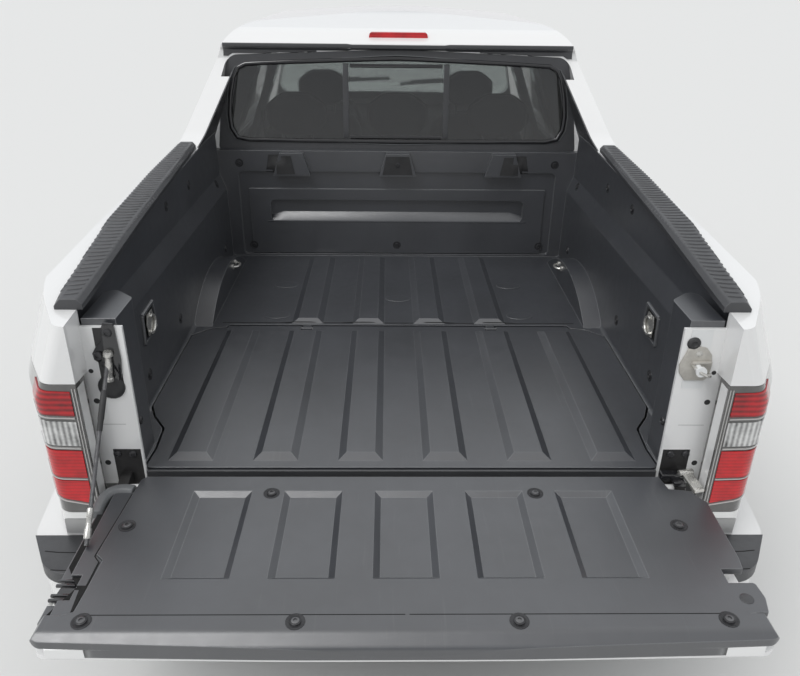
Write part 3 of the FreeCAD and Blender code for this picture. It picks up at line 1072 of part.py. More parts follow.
def rim():
    """Alloy wheel with five pairs of spokes, its face towards +X."""
    half = RIM_WIDTH / 2
    barrel = [(-half, RIM_R + 10.0, 0.0), (-half + 8.0, RIM_R + 10.0, 0.0), (-half + 8.0, RIM_R, 0.0), (half - 8.0, RIM_R, 0.0),
              (half - 8.0, RIM_R + 10.0, 0.0), (half, RIM_R + 10.0, 0.0), (half, RIM_R - 12.0, 6.0),
              (half - 40.0, RIM_R - 24.0, 0.0), (-half, RIM_R - 12.0, 0.0)]
    ring = Part.Face(outline("y", 0.0, barrel)).revolve(vec(0, 0, 0), vec(1, 0, 0), 360.0)
    hub = Part.makeCylinder(88.0, 34.0, vec(38.0, 0, 0), vec(1, 0, 0))
    spokes = []
    for i in range(5):
        for side in (-1, 1):
            arm = prism("x", [(side * 10.0 - 13.0, 60.0), (side * 10.0 + 13.0, 60.0), (side * 30.0 + 11.0, RIM_R - 16.0),
                              (side * 30.0 - 11.0, RIM_R - 16.0)], 58.0, 88.0)
            spokes.append(turned(arm, 72.0 * i, vec(0, 0, 0), vec(1, 0, 0)))
    disc = rod(vec(-8.0, 0, 0), vec(14.0, 0, 0), 150.0)
    bell = rod(vec(10.0, 0, 0), vec(40.0, 0, 0), 76.0)
    cap = rod(vec(74.0, 0, 0), vec(82.0, 0, 0), HUB_BORE_R + 4.0)
    face = rod(vec(70.0, 0, 0), vec(76.0, 0, 0), HUB_BORE_R + 12.0)
    bore = rod(vec(-20.0, 0, 0), vec(74.0, 0, 0), HUB_BORE_R)
    wheel = join([ring, hub, disc, bell, face, cap] + spokes).cut(bore)
    for i in range(5):
        hole = Part.makeCylinder(10.0, 30.0, vec(58.0, 0, 57.0), vec(1, 0, 0))
        wheel = wheel.cut(turned(hole, 72.0 * i + 36.0, vec(0, 0, 0), vec(1, 0, 0)))
    return wheel


def knuckle():
    """Front upright on the right: hub, brake disc, upright arms and the strut's lower clamp."""
    x = TRACK_FRONT / 2
    stub = rod(vec(x - 34.0, FRONT_AXLE_Y, TYRE_R), vec(x + 73.0, FRONT_AXLE_Y, TYRE_R), HUB_BORE_R - SEAT_GAP)
    axis = kingpin_axis()
    ball = vec(BALL_X, FRONT_AXLE_Y, BALL_Z)
    upright = prism("x", [(FRONT_AXLE_Y - 38.0, BALL_Z - 8.0, 10.0), (FRONT_AXLE_Y + 38.0, BALL_Z - 8.0, 10.0),
                          (FRONT_AXLE_Y + 60.0, TYRE_R, 40.0), (FRONT_AXLE_Y + 34.0, 520.0, 10.0),
                          (FRONT_AXLE_Y - 34.0, 520.0, 10.0), (FRONT_AXLE_Y - 60.0, TYRE_R, 40.0)], x - 60.0, x - 30.0)
    neck = rod(ball.add(axis * -8.0), ball.add(axis * 300.0), 24.0)
    caliper = box(x - 40.0, x + 32.0, FRONT_AXLE_Y - 175.0, FRONT_AXLE_Y - 92.0, 330.0, 430.0)
    caliper = caliper.cut(box(x - 14.0, x + 20.0, FRONT_AXLE_Y - 158.0, FRONT_AXLE_Y, 300.0, 500.0))
    link = box(x - 56.0, x - 30.0, FRONT_AXLE_Y - 110.0, FRONT_AXLE_Y - 40.0, 350.0, 410.0)
    socket = Part.makeSphere(BALL_R + SEAT_GAP, ball)
    throat = rod(vec(BALL_X, FRONT_AXLE_Y, BALL_Z - 40.0), ball, 12.0)
    return cut(join([stub, upright, neck, caliper, link]), socket, throat)


BALL_R = 14.0


def kingpin_axis():
    run = vec(TOP_MOUNT_X - BALL_X, 0, TOP_MOUNT_Z - BALL_Z)
    run.normalize()
    return run


def strut_point(along):
    """Point of the right front strut's line, along mm above its ball joint."""
    return vec(BALL_X, FRONT_AXLE_Y, BALL_Z).add(kingpin_axis() * along)


def front_suspension():
    axis = kingpin_axis()
    ball = vec(BALL_X, FRONT_AXLE_Y, BALL_Z)
    foot = ball.add(axis * (300.0 + SEAT_GAP))
    top = vec(TOP_MOUNT_X, FRONT_AXLE_Y, TOP_MOUNT_Z)
    strut = [rod(foot, ball.add(axis * 460.0), 22.0), rod(ball.add(axis * 450.0), ball.add(axis * 575.0), 12.0)]
    seat = ball.add(axis * 560.0)
    spring = rod(seat, top, 55.0)
    plate = rod(top, top.add(axis * 16.0), 90.0)
    end_x = BALL_X + 20.0
    arm = prism("z", [(end_x, FRONT_AXLE_Y - 24.0, 20.0), (end_x, FRONT_AXLE_Y + 24.0, 20.0),
                      (640.0, FRONT_AXLE_Y + 60.0, 60.0), (430.0, FRONT_AXLE_Y + 150.0), (430.0, FRONT_AXLE_Y - 210.0),
                      (620.0, FRONT_AXLE_Y - 70.0, 60.0)], BALL_Z - 36.0, BALL_Z - 16.0)
    stud = [Part.makeSphere(BALL_R, ball), rod(vec(BALL_X, FRONT_AXLE_Y, BALL_Z - 30.0), ball, 8.0)]
    return join(strut + [spring, plate]), join([arm] + stud)


def both(shape):
    return [shape, flip(shape)]


def wheels():
    places = [("front_right", TRACK_FRONT / 2, FRONT_AXLE_Y, 1), ("front_left", TRACK_FRONT / 2, FRONT_AXLE_Y, -1),
              ("rear_right", TRACK_REAR / 2, REAR_AXLE_Y, 1), ("rear_left", TRACK_REAR / 2, REAR_AXLE_Y, -1)]
    tyre_form = tyre()
    rim_form = rim()
    for name, x, y, side in places:
        for kind, form in (("tyre_", tyre_form), ("rim_", rim_form)):
            piece = form.copy()
            piece.translate(vec(x, y, TYRE_R))
            save(kind + name, piece if side > 0 else flip(piece))


def underbody():
    """Two side rails with cross members, strut towers, front subframe and engine mounts."""
    rail = prism("x", [
        (REAR_RAIL_Y, 425.0), (REAR_RAIL_Y, 505.0), (35.0, 505.0), (35.0, TUB_LOW_Z - SEAT_GAP),
        (870.0, TUB_LOW_Z - SEAT_GAP), (940.0, 620.0, 40.0), (1280.0, 620.0, 60.0),
        (1540.0, RAIL_HIGH_Z, 40.0), (3715.0, RAIL_HIGH_Z, 40.0), (3800.0, 520.0, 40.0), (4940.0, 520.0),
        (4940.0, 420.0), (3860.0, 420.0, 40.0), (3770.0, 300.0, 40.0), (1500.0, 300.0, 60.0), (1240.0, 520.0, 60.0),
        (1000.0, 520.0, 40.0), (920.0, 330.0, 20.0), (14.0, 330.0), (14.0, 425.0),
    ], RAIL_INNER, RAIL_OUTER)
    cross = [box(-RAIL_INNER, RAIL_INNER, y, y + 70.0, z0, z0 + 70.0) for y, z0 in
             ((-60.0, 430.0), (2050.0, 300.0), (3000.0, 300.0), (4840.0, 430.0))]
    riser = box(RAIL_INNER, ARM_END_X - SEAT_GAP, FRONT_AXLE_Y - 50.0, FRONT_AXLE_Y + 50.0, 199.0, 425.0)
    mount = box(350.0 + SEAT_GAP, RAIL_INNER, 4250.0, 4330.0, 450.0, 510.0)
    tower = box(RAIL_INNER + 20.0, RAIL_OUTER, FRONT_AXLE_Y - 110.0, FRONT_AXLE_Y + 110.0, 500.0, 980.0)
    cup = box(RAIL_OUTER - 20.0, 740.0, FRONT_AXLE_Y - 110.0, FRONT_AXLE_Y + 110.0, 930.0, 980.0)
    cup = cut(cup, rod(strut_point(600.0), strut_point(STRUT_RUN + 16.0 + SEAT_GAP), 90.0 + SEAT_GAP))
    subframe = box(-RAIL_INNER - 1.0, RAIL_INNER + 1.0, FRONT_AXLE_Y - 50.0, FRONT_AXLE_Y + 50.0, 199.0, 260.0)
    hanger = box(232.0, 248.0, 2070.0, 2090.0, 290.0 + SEAT_GAP, 302.0)
    parts = [p for q in (rail, riser, mount, tower, cup) for p in both(q)]
    frame = join(parts + cross + [subframe, hanger])
    return frame.cut(box(-60.0, 60.0, 1900.0, 3200.0, 324.0, 500.0))


TUB_LOW_Z = BED_Z - TUB_DEPTH
REAR_RAIL_Y = -113.7
RAIL_HIGH_Z = FLOOR_Z - FLOOR_DEPTH - SEAT_GAP
RAIL_INNER = 400.0
RAIL_OUTER = 480.0
ARM_END_X = 430.0
STRUT_RUN = math.hypot(TOP_MOUNT_X - BALL_X, TOP_MOUNT_Z - BALL_Z)
RECEIVER_Z = 366.0
RECEIVER_HALF = 31.75
RECEIVER_ROOM = 25.8
PIN_HOLE_R = 8.25
PIN_HOLE_Y = -85.0


def hitch_receiver():
    """Tow receiver for a 2 inch bar, with its cross pin hole, on a beam between the rails."""
    low, high = RECEIVER_Z - RECEIVER_HALF, RECEIVER_Z + RECEIVER_HALF
    beam = box(-RAIL_INNER + SEAT_GAP, RAIL_INNER - SEAT_GAP, 14.0, 70.0, low, high)
    tube = box(-RECEIVER_HALF, RECEIVER_HALF, -110.0, 20.0, low, high)
    room = box(-RECEIVER_ROOM, RECEIVER_ROOM, -130.0, 60.0, RECEIVER_Z - RECEIVER_ROOM, RECEIVER_Z + RECEIVER_ROOM)
    pin = rod(vec(-60.0, PIN_HOLE_Y, RECEIVER_Z), vec(60.0, PIN_HOLE_Y, RECEIVER_Z), PIN_HOLE_R)
    return cut(join([beam, tube]), room, pin)


def fuel_tank():
    return prism("z", [(-395.0, 2160.0, 40.0), (-70.0, 2160.0, 40.0), (-70.0, 2960.0, 40.0), (-395.0, 2960.0, 40.0)],
                 228.0, RAIL_HIGH_Z)


def cabin():
    column = rod(vec(*STEERING_CENTRE).add(steering_axis() * -(26.0 + SEAT_GAP)),
                 vec(*STEERING_CENTRE).add(steering_axis() * -230.0), 24.0)
    dash = prism("x", [(3300.0, 820.0, 60.0), (3230.0, 1010.0, 60.0), (3330.0, 1120.0, 50.0), (3560.0, 1150.0, 20.0),
                       (3660.0, 1150.0), (3660.0, 880.0), (3540.0, 845.0, 40.0)], -BEYOND, BEYOND)
    dash = dash.common(cab_room(WALL_DEPTH + SEAT_GAP))
    seats = []
    for x in (-380.0, 380.0):
        seats.append(seat(x, 2700.0, 500.0))
    bench = [seat(x, 1860.0, wide) for x, wide in ((-420.0, 470.0), (0.0, 490.0), (420.0, 470.0))]
    return join([dash, column]), seats, bench


def seat(x, y, wide, base=560.0):
    cushion = prism("x", [(y, base, 40.0), (y + 480.0, base, 40.0), (y + 500.0, base + 150.0, 60.0), (y + 60.0, base + 120.0)],
                    x - wide / 2 + 30.0, x + wide / 2 - 30.0)
    back = prism("x", [(y - 60.0, base + 80.0, 30.0), (y + 70.0, base + 100.0, 30.0), (y - 60.0, 1290.0, 40.0),
                       (y - 150.0, 1290.0, 40.0)], x - wide / 2 + 30.0, x + wide / 2 - 30.0)
    head = prism("x", [(y - 150.0, 1300.0, 30.0), (y - 60.0, 1300.0, 30.0), (y - 80.0, 1480.0, 30.0),
                       (y - 160.0, 1480.0, 30.0)], x - 130.0, x + 130.0)
    posts = [rod(vec(x + s, y - 108.0, 1270.0), vec(x + s, y - 108.0, 1320.0), 7.0) for s in (-60.0, 60.0)]
    stands = []
    if x:
        stands.append(box(x - 160.0, x + 160.0, y + 40.0, y + 420.0, FLOOR_Z + SEAT_GAP, base + 20.0))
    return join([cushion, back, head] + stands + posts)


def main():
    os.makedirs("parts", exist_ok=True)
    shell, arms = cab_shell()
    hood, fender, lamp, bumper, bars, grille = front_body()
    shell = largest(cut(shell, *both(fender)))
    save("cab_shell", join([shell] + arms + both(hood_hinges()[1])))
    doors = [
        ("front", FRONT_DOOR, FRONT_WINDOW, FRONT_DOOR_Y, B_PILLAR_Y + 170.0),
        ("rear", REAR_DOOR, REAR_WINDOW, B_PILLAR_Y - PANEL_GAP, REAR_DOOR_Y + 190.0),
    ]
    for name, corners, window, lead_y, handle_y in doors:
        panel = door(corners, window, lead_y, handle_y)
        pane = door_glass(window)
        if name == "front":
            mirror_right = cut(mirror(), panel, pane)
        save("door_" + name + "_right", panel)
        save("door_" + name + "_left", flip(panel))
        save("glass_" + name + "_right", pane)
        save("glass_" + name + "_left", flip(pane))
    opening = prism("y", grown(WINDSHIELD_FRONT, -SEAT_GAP), 2700.0, 3900.0)
    save("windshield", glass_opening(COWL_Y - 8.0, COWL_SIDE_Y - 8.0, GLASS).common(opening))
    save("rear_window", rear_sheet(REAR_GLASS, 8.0, 13.0))
    rim_line = grown(REAR_FRAME, -SEAT_GAP)
    frame = rear_sheet(rim_line, 0.0, 24.0).cut(rear_sheet(grown(REAR_GLASS, SEAT_GAP), -10.0, 40.0))
    save("rear_window_frame", frame)
    save("bed_sides", *both(bed_side()))
    save("tail_lamps", *both(tail_lamp()))
    save("trunk_lid", trunk_lid())
    save("bed_liner", bed_liner())
    save("rail_caps", *both(rail_cap()))
    save("tailgate_shell", gate_shell())
    save("tailgate_liner", gate_liner())
    save("tailgate_latch", latch_box())
    save("sail_trims", *both(sail_trim()))
    save("tailgate_hinges", *both(gate_hinge()))
    save("rear_sill_panel", sill_panel())
    save("rear_bumper", rear_bumper())
    save("step_pads", *both(step_pad()))
    save("tailgate_cable", gate_cable())
    save("gate_catches", cable_bracket(), striker())
    save("stop_lamp", stop_lamp())
    save("mirror_right", mirror_right)
    save("mirror_left", flip(mirror_right))
    frame_rails = underbody()
    save("rear_suspension", rear_suspension().cut(frame_rails))
    block, shaft = drivetrain()
    save("engine", block)
    save("propeller_shaft", shaft)
    save("exhaust", exhaust().cut(block))
    save("steering_wheel", steering_wheel())
    save("wheel_arch_liners", *both(arch_liner(REAR_AXLE_Y, 700.0, 420.0)), *both(arch_liner(FRONT_AXLE_Y, 520.0, 380.0)))
    save("trunk_tub", trunk_tub())
    lug, _, room = hood_hinges()
    save("hood", cut(join([hood] + both(lug)), *both(room)))
    save("front_fenders", *both(fender))
    save("headlamps", *both(lamp))
    save("front_bumper", join([bumper] + bars))
    save("grille", grille)
    wheels()
    save("knuckle_right", knuckle())
    save("knuckle_left", flip(knuckle()))
    strut, arm = front_suspension()
    save("front_suspension", *both(strut), *both(arm))
    save("underbody", frame_rails)
    save("hitch_receiver", hitch_receiver())
    save("fuel_tank", fuel_tank())
    dash, seats, bench = cabin()
    save("dashboard", dash)
    save("front_seats", *seats)
    save("rear_seat", join(bench))


main()
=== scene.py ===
import json
import math
import bmesh
import bpy
from mathutils import Matrix, Vector
from mathutils.bvhtree import BVHTree


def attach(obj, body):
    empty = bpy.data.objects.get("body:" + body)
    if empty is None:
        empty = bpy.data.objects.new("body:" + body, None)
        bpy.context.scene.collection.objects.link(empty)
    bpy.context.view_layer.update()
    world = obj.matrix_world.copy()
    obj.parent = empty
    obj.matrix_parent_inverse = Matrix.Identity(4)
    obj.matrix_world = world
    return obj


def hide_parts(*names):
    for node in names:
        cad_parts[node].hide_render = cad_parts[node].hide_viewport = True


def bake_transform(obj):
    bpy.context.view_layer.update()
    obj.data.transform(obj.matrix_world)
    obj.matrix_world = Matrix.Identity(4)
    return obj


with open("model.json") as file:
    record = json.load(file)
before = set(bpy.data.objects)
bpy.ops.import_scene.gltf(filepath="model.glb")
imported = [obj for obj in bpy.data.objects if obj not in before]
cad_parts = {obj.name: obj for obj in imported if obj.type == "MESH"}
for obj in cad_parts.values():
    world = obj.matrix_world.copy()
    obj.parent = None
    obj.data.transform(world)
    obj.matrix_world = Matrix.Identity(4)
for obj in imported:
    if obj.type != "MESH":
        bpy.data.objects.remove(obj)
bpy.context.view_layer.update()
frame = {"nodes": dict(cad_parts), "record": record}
nodes = frame["nodes"]

# Metres, +X to the truck's right, +Y to its front. bed() takes millimetres from the closed tailgate's
# inner face, the truck's middle and the bed floor, as the part's source does.
MIDDLE_Y = 2.3025
BED_Z = 0.836

# Camera fitted to the photograph
PITCH, YAW, ROLL = 0.455, -0.0195, 0.0122
CAMERA_PLACE = (-0.0396, -3.7372, 1.8954)
FOCAL_LENGTH = 33.06

BACKDROP = (0.78, 0.785, 0.79, 1.0)
FLOOR = (0.70, 0.70, 0.69, 1.0)
FLOOR_SIZE = 240.0
# The dome's colours at shares of its height, its strength behind and ahead, and the sun
DOME = ((0.0, (0.84, 0.84, 0.85, 1.0)), (0.22, (0.62, 0.64, 0.67, 1.0)), (0.52, (0.94, 0.97, 1.0, 1.0)),
        (1.0, (1.0, 1.0, 1.0, 1.0)))
DOME_STRENGTH = (0.62, 0.95)
SUN_TOWARDS, SUN_ANGLE, SUN_STRENGTH = (0.50, 0.52, -0.95), 0.55, 1.35


def bed(x, y, z):
    return Vector((x / 1000.0, y / 1000.0 - MIDDLE_Y, z / 1000.0 + BED_Z))


# ---- Camera, floor and light

def look():
    across = Vector((math.cos(YAW), math.sin(YAW), 0.0))
    ahead = Vector((-math.sin(YAW), math.cos(YAW), 0.0))
    up = ahead * math.sin(PITCH) + Vector((0, 0, math.cos(PITCH)))
    view = ahead * math.cos(PITCH) - Vector((0, 0, math.sin(PITCH)))
    right = across * math.cos(ROLL) + up * math.sin(ROLL)
    top = up * math.cos(ROLL) - across * math.sin(ROLL)
    data = bpy.data.cameras.new("camera")
    data.sensor_width = 36.0
    data.lens = FOCAL_LENGTH
    data.clip_end = 300.0
    camera = bpy.data.objects.new("camera", data)
    place = Matrix((right, top, -view)).transposed().to_4x4()
    place.translation = Vector(CAMERA_PLACE)
    camera.matrix_world = place
    bpy.context.collection.objects.link(camera)
    bpy.context.scene.camera = camera


def studio():
    """A soft dome, dimmer behind the camera and low down, one broad sun, and a pale floor and background."""
    scene = bpy.context.scene
    scene.view_settings.view_transform = "Standard"
    world = bpy.data.worlds.new("studio")
    scene.world = world
    world.use_nodes = True
    tree = world.node_tree
    tree.nodes.clear()
    out = tree.nodes.new("ShaderNodeOutputWorld")
    way = add(tree, "SeparateXYZ", Vector=add(tree, "TexCoord").outputs["Generated"])
    strength = mapped(tree, way.outputs["Y"], -0.9, 0.3, *DOME_STRENGTH)
    sky = add(tree, "Background", Color=graded(tree, way.outputs["Z"], DOME), Strength=strength)
    shown = add(tree, "Background", Color=BACKDROP, Strength=1.0)
    mix = tree.nodes.new("ShaderNodeMixShader")
    seen = add(tree, "LightPath").outputs["Is Camera Ray"]
    for source, socket in ((seen, 0), (sky.outputs[0], 1), (shown.outputs[0], 2)):
        tree.links.new(source, mix.inputs[socket])
    tree.links.new(mix.outputs[0], out.inputs[0])
    data = bpy.data.lights.new("key", "SUN")
    data.angle = SUN_ANGLE
    data.energy = SUN_STRENGTH
    light = bpy.data.objects.new("key", data)
    light.rotation_euler = Vector(SUN_TOWARDS).to_track_quat("-Z", "Y").to_euler()
    bpy.context.collection.objects.link(light)
    bpy.ops.mesh.primitive_plane_add(size=FLOOR_SIZE, location=(0, 0, 0))
    floor = bpy.context.object
    floor.name = "floor"
    material, tree, shade = shader("studio_floor")
    plain(shade, Base_Color=FLOOR, Roughness=0.9)
    floor.data.materials.append(material)


# ---- Materials

def shader(name):
    material = bpy.data.materials.new(name)
    material.use_nodes = True
    tree = material.node_tree
    tree.nodes.clear()
    out = tree.nodes.new("ShaderNodeOutputMaterial")
    shade = tree.nodes.new("ShaderNodeBsdfPrincipled")
    tree.links.new(shade.outputs[0], out.inputs[0])
    return material, tree, shade


def add(tree, kind, settings=None, **inputs):
    """A shader node; settings are its own properties, and inputs are sockets by name, _ for a space."""
    new = tree.nodes.new("ShaderNode" + kind)
    for key, value in (settings or {}).items():
        setattr(new, key, value)
    for key, value in inputs.items():
        socket = new.inputs[key.replace("_", " ")]
        if isinstance(value, bpy.types.NodeSocket):
            tree.links.new(value, socket)
        else:
            socket.default_value = value
    return new


def mapped(tree, value, from_low, from_high, low, high):
    """A value's span moved to another span."""
    return add(tree, "MapRange", Value=value, From_Min=from_low, From_Max=from_high,
               To_Min=low, To_Max=high).outputs[0]


def graded(tree, share, stops):
    """The colour at a share of a ramp; stops are places and colours."""
    ramp = add(tree, "ValToRGB", Fac=share)
    found = ramp.color_ramp.elements
    for element, (place, color) in zip(list(found), (stops[0], stops[-1])):
        element.position = place
        element.color = color
    for place, color in stops[1:-1]:
        found.new(place).color = color
    return ramp.outputs["Color"]


def mixed(tree, share, first, second):
    return add(tree, "MixRGB", Fac=share, Color1=first, Color2=second).outputs[0]


def plain(shade, **inputs):
    """Numbers set on the shader's own sockets by name, _ for a space."""
    for key, value in inputs.items():
        shade.inputs[key.replace("_", " ")].default_value = value


def tint(color, by):
    return tuple(min(1.0, c * by) for c in color) + (1.0,)


def surface(name, color, rough, vary=0.12, patch=3.0, grain=0.0, grain_scale=500.0, cells=False, metal=0.0,
            coat=0.0, spread=0.06, dust=0.0, edge=0.0, wear=None, scuffs=0.0, **extra):
    """A finish with patchy colour and roughness, a fine grain in relief, soft edges lightened by a painted highlight,
    scuffs and dust low down.
    """
    material, tree, shade = shader(name)
    where = add(tree, "TexCoord").outputs["Object"]
    clouds = add(tree, "TexNoise", Vector=where, Scale=patch, Detail=7.0, Roughness=0.62)
    colour = graded(tree, clouds.outputs["Fac"], ((0.32, tint(color, 1.0 - vary)), (0.7, tint(color, 1.0 + vary))))
    if scuffs:
        stretched = add(tree, "Mapping", Vector=where)
        stretched.inputs["Scale"].default_value = (90.0, 4.0, 14.0)
        streaks = add(tree, "TexNoise", Vector=stretched.outputs[0], Scale=1.6, Detail=4.0)
        marks = mapped(tree, streaks.outputs["Fac"], 0.62, 0.78, 0.0, scuffs)
        colour = mixed(tree, marks, colour, (0.20, 0.20, 0.20, 1.0))
    if dust:
        height = add(tree, "SeparateXYZ", Vector=where).outputs["Z"]
        colour = mixed(tree, mapped(tree, height, 0.95, 0.15, 0.0, dust), colour, (0.32, 0.29, 0.25, 1.0))
    soft = None
    if edge:
        soft = add(tree, "Bevel", {"samples": 4}, Radius=edge).outputs[0]
        tree.links.new(soft, shade.inputs["Normal"])
    # Painted highlight: the colour is lightened along edges, where the rounded normal turns away from the face's own
    if edge and wear:
        turned = add(tree, "VectorMath", {"operation": "DOT_PRODUCT"})
        tree.links.new(soft, turned.inputs[0])
        tree.links.new(add(tree, "NewGeometry").outputs["Normal"], turned.inputs[1])
        edge_highlight_mask = mapped(tree, turned.outputs["Value"], 0.995, 0.90, 0.0, 0.85)
        colour = mixed(tree, edge_highlight_mask, colour, tint(wear, 1.0))
    tree.links.new(colour, shade.inputs["Base Color"])
    fine = add(tree, "TexNoise", Vector=where, Scale=patch * 9.0, Detail=5.0)
    film = mapped(tree, fine.outputs["Fac"], 0.3, 0.7, max(rough - spread, 0.02), rough + spread)
    tree.links.new(film, shade.inputs["Roughness"])
    if grain:
        if cells:
            pattern = add(tree, "TexVoronoi", Vector=where, Scale=grain_scale).outputs["Distance"]
        else:
            pattern = add(tree, "TexNoise", Vector=where, Scale=grain_scale, Detail=3.0).outputs["Fac"]
        bump = add(tree, "Bump", Height=pattern, Strength=0.6, Distance=grain)
        if soft:
            tree.links.new(soft, bump.inputs["Normal"])
        tree.links.new(bump.outputs[0], shade.inputs["Normal"])
    plain(shade, Metallic=metal, Coat_Weight=coat)
    if coat:
        plain(shade, Coat_Roughness=0.05)
    plain(shade, **extra)
    return material


def glass(name, color, rough=0.03, ior=1.5):
    material, tree, shade = shader(name)
    where = add(tree, "TexCoord").outputs["Object"]
    film = add(tree, "TexNoise", Vector=where, Scale=5.0, Detail=6.0)
    haze = mapped(tree, film.outputs["Fac"], 0.3, 0.75, rough * 0.4, rough * 1.8)
    tree.links.new(haze, shade.inputs["Roughness"])
    plain(shade, Base_Color=tuple(color) + (1.0,), Transmission_Weight=1.0, IOR=ior)
    return material


def woven(name, color, pitch):
    """Cloth of crossing threads, from two waves at right angles."""
    material, tree, shade = shader(name)
    where = add(tree, "TexCoord").outputs["Object"]
    clouds = add(tree, "TexNoise", Vector=where, Scale=9.0, Detail=6.0)
    cross = add(tree, "Math", {"operation": "MULTIPLY"})
    for i, way in enumerate("XZ"):
        threads = add(tree, "TexWave", {"bands_direction": way}, Vector=where, Scale=pitch / 20.0, Distortion=0.6,
                      Detail=2.0)
        tree.links.new(threads.outputs["Fac"], cross.inputs[i])
    colour = graded(tree, clouds.outputs["Fac"], ((0.0, tint(color, 0.72)), (1.0, tint(color, 1.3))))
    tree.links.new(colour, shade.inputs["Base Color"])
    bump = add(tree, "Bump", Height=cross.outputs[0], Strength=0.5, Distance=0.0008)
    tree.links.new(bump.outputs[0], shade.inputs["Normal"])
    plain(shade, Roughness=0.9, Sheen_Weight=0.35)
    return material


def lens(name, deep, bright, direction, scale, spark=0.0, fog=0.5):
    """Moulded lamp lens: faint flutes, small facets and cloudy depth, with a clear coat over all."""
    material, tree, shade = shader(name)
    where = add(tree, "TexCoord").outputs["Object"]
    flutes = add(tree, "TexWave", {"bands_direction": direction, "wave_profile": "SIN"}, Vector=where,
                 Scale=scale, Distortion=0.4, Detail=2.0)
    facets = add(tree, "TexVoronoi", Vector=where, Scale=120.0)
    clouds = add(tree, "TexNoise", Vector=where, Scale=26.0, Detail=4.0)
    level = add(tree, "Math", {"operation": "MULTIPLY_ADD"})
    tree.links.new(facets.outputs["Distance"], level.inputs[0])
    level.inputs[1].default_value = spark
    tree.links.new(flutes.outputs["Fac"], level.inputs[2])
    blend = mixed(tree, fog, level.outputs[0], clouds.outputs["Fac"])
    colour = graded(tree, blend, ((0.22, tuple(deep) + (1.0,)), (0.80, tuple(bright) + (1.0,))))
    tree.links.new(colour, shade.inputs["Base Color"])
    bump = add(tree, "Bump", Height=flutes.outputs["Fac"], Strength=0.25, Distance=0.0006)
    tree.links.new(bump.outputs[0], shade.inputs["Normal"])
    plain(shade, Roughness=0.14, Coat_Weight=0.35, Coat_Roughness=0.03)
    return material


def catch_finish(name):
    """The left catch is dark steel, and the right one's plate is painted with the body."""
    material, tree, shade = shader(name)
    where = add(tree, "TexCoord").outputs["Object"]
    side = mapped(tree, add(tree, "SeparateXYZ", Vector=where).outputs["X"], -0.01, 0.01, 0.0, 1.0)
    film = add(tree, "TexNoise", Vector=where, Scale=40.0, Detail=5.0).outputs["Fac"]
    dark = graded(tree, film, ((0.0, (0.012, 0.012, 0.013, 1.0)), (1.0, (0.035, 0.035, 0.036, 1.0))))
    tree.links.new(mixed(tree, side, dark, (0.74, 0.75, 0.75, 1.0)), shade.inputs["Base Color"])
    tree.links.new(mapped(tree, film, 0.3, 0.7, 0.28, 0.45), shade.inputs["Roughness"])
    return material


# Each finish by name, with the record's slot that it is or stands beside
finishes = {}


def stock(make, name, *values, slot=None, title=None, **more):
    """A finish kept by name; title is the material's own name where it differs."""
    finishes[name] = (make(title or name, *values, **more), slot or name)


stock(surface, "body_paint", (0.80, 0.80, 0.795), 0.30, vary=0.008, patch=1.5, coat=1.0, spread=0.02, dust=0.10)
# bed_plastic and trim_black carry a paler colour for painted highlights along their edges
stock(surface, "bed_plastic", (0.035, 0.0375, 0.044), 0.34, vary=0.18, patch=4.0, grain=0.0002, grain_scale=900.0,
      cells=True, spread=0.04, edge=0.0028, wear=(0.20, 0.205, 0.21), scuffs=0.10, coat=0.3, Coat_Roughness=0.34,
      IOR=1.62, Specular_IOR_Level=1.0)
stock(surface, "trim_black", (0.034, 0.035, 0.039), 0.42, vary=0.2, patch=6.0, grain=0.0003, grain_scale=900.0,
      cells=True, edge=0.0025, wear=(0.12, 0.122, 0.126), Specular_IOR_Level=0.9)
stock(surface, "steel_dark", (0.028, 0.028, 0.03), 0.5, vary=0.35, patch=11.0, grain=0.0005, grain_scale=160.0,
      metal=0.35, spread=0.12, dust=0.3, edge=0.0015)
stock(surface, "steel", (0.45, 0.44, 0.42), 0.36, vary=0.2, patch=14.0, grain=0.0002, grain_scale=700.0, metal=1.0,
      spread=0.12)
stock(surface, "engine_metal", (0.30, 0.31, 0.32), 0.5, vary=0.25, patch=8.0, grain=0.0008, grain_scale=220.0,
      metal=0.8, spread=0.12, edge=0.004)
stock(surface, "alloy", (0.55, 0.56, 0.58), 0.28, vary=0.06, patch=6.0, grain=0.00015, grain_scale=600.0, metal=0.9,
      coat=0.6, edge=0.003)
stock(surface, "tyre", (0.022, 0.022, 0.023), 0.78, vary=0.3, patch=9.0, grain=0.0006, grain_scale=420.0,
      spread=0.1, dust=0.12)
stock(surface, "interior", (0.05, 0.05, 0.052), 0.62, vary=0.15, patch=6.0, grain=0.0005, grain_scale=650.0,
      cells=True, edge=0.003)
stock(surface, "chrome", (0.72, 0.73, 0.75), 0.1, vary=0.04, patch=9.0, grain=0.00005, grain_scale=400.0, metal=1.0,
      spread=0.05, edge=0.001)
stock(lens, "head_lens", (0.30, 0.32, 0.35), (0.86, 0.88, 0.90), "Z", 22.0, 0.5)
stock(glass, "glass", (0.26, 0.27, 0.265), ior=1.85, title="tinted_glass")
stock(glass, "clear_glass", (0.80, 0.87, 0.85))
stock(woven, "seat_cloth", (0.10, 0.10, 0.105), 1800.0)
stock(surface, "tail_lens", (0.085, 0.083, 0.08), 0.16, vary=0.2, patch=14.0, coat=1.0, spread=0.04, edge=0.002,
      title="lamp_housing")

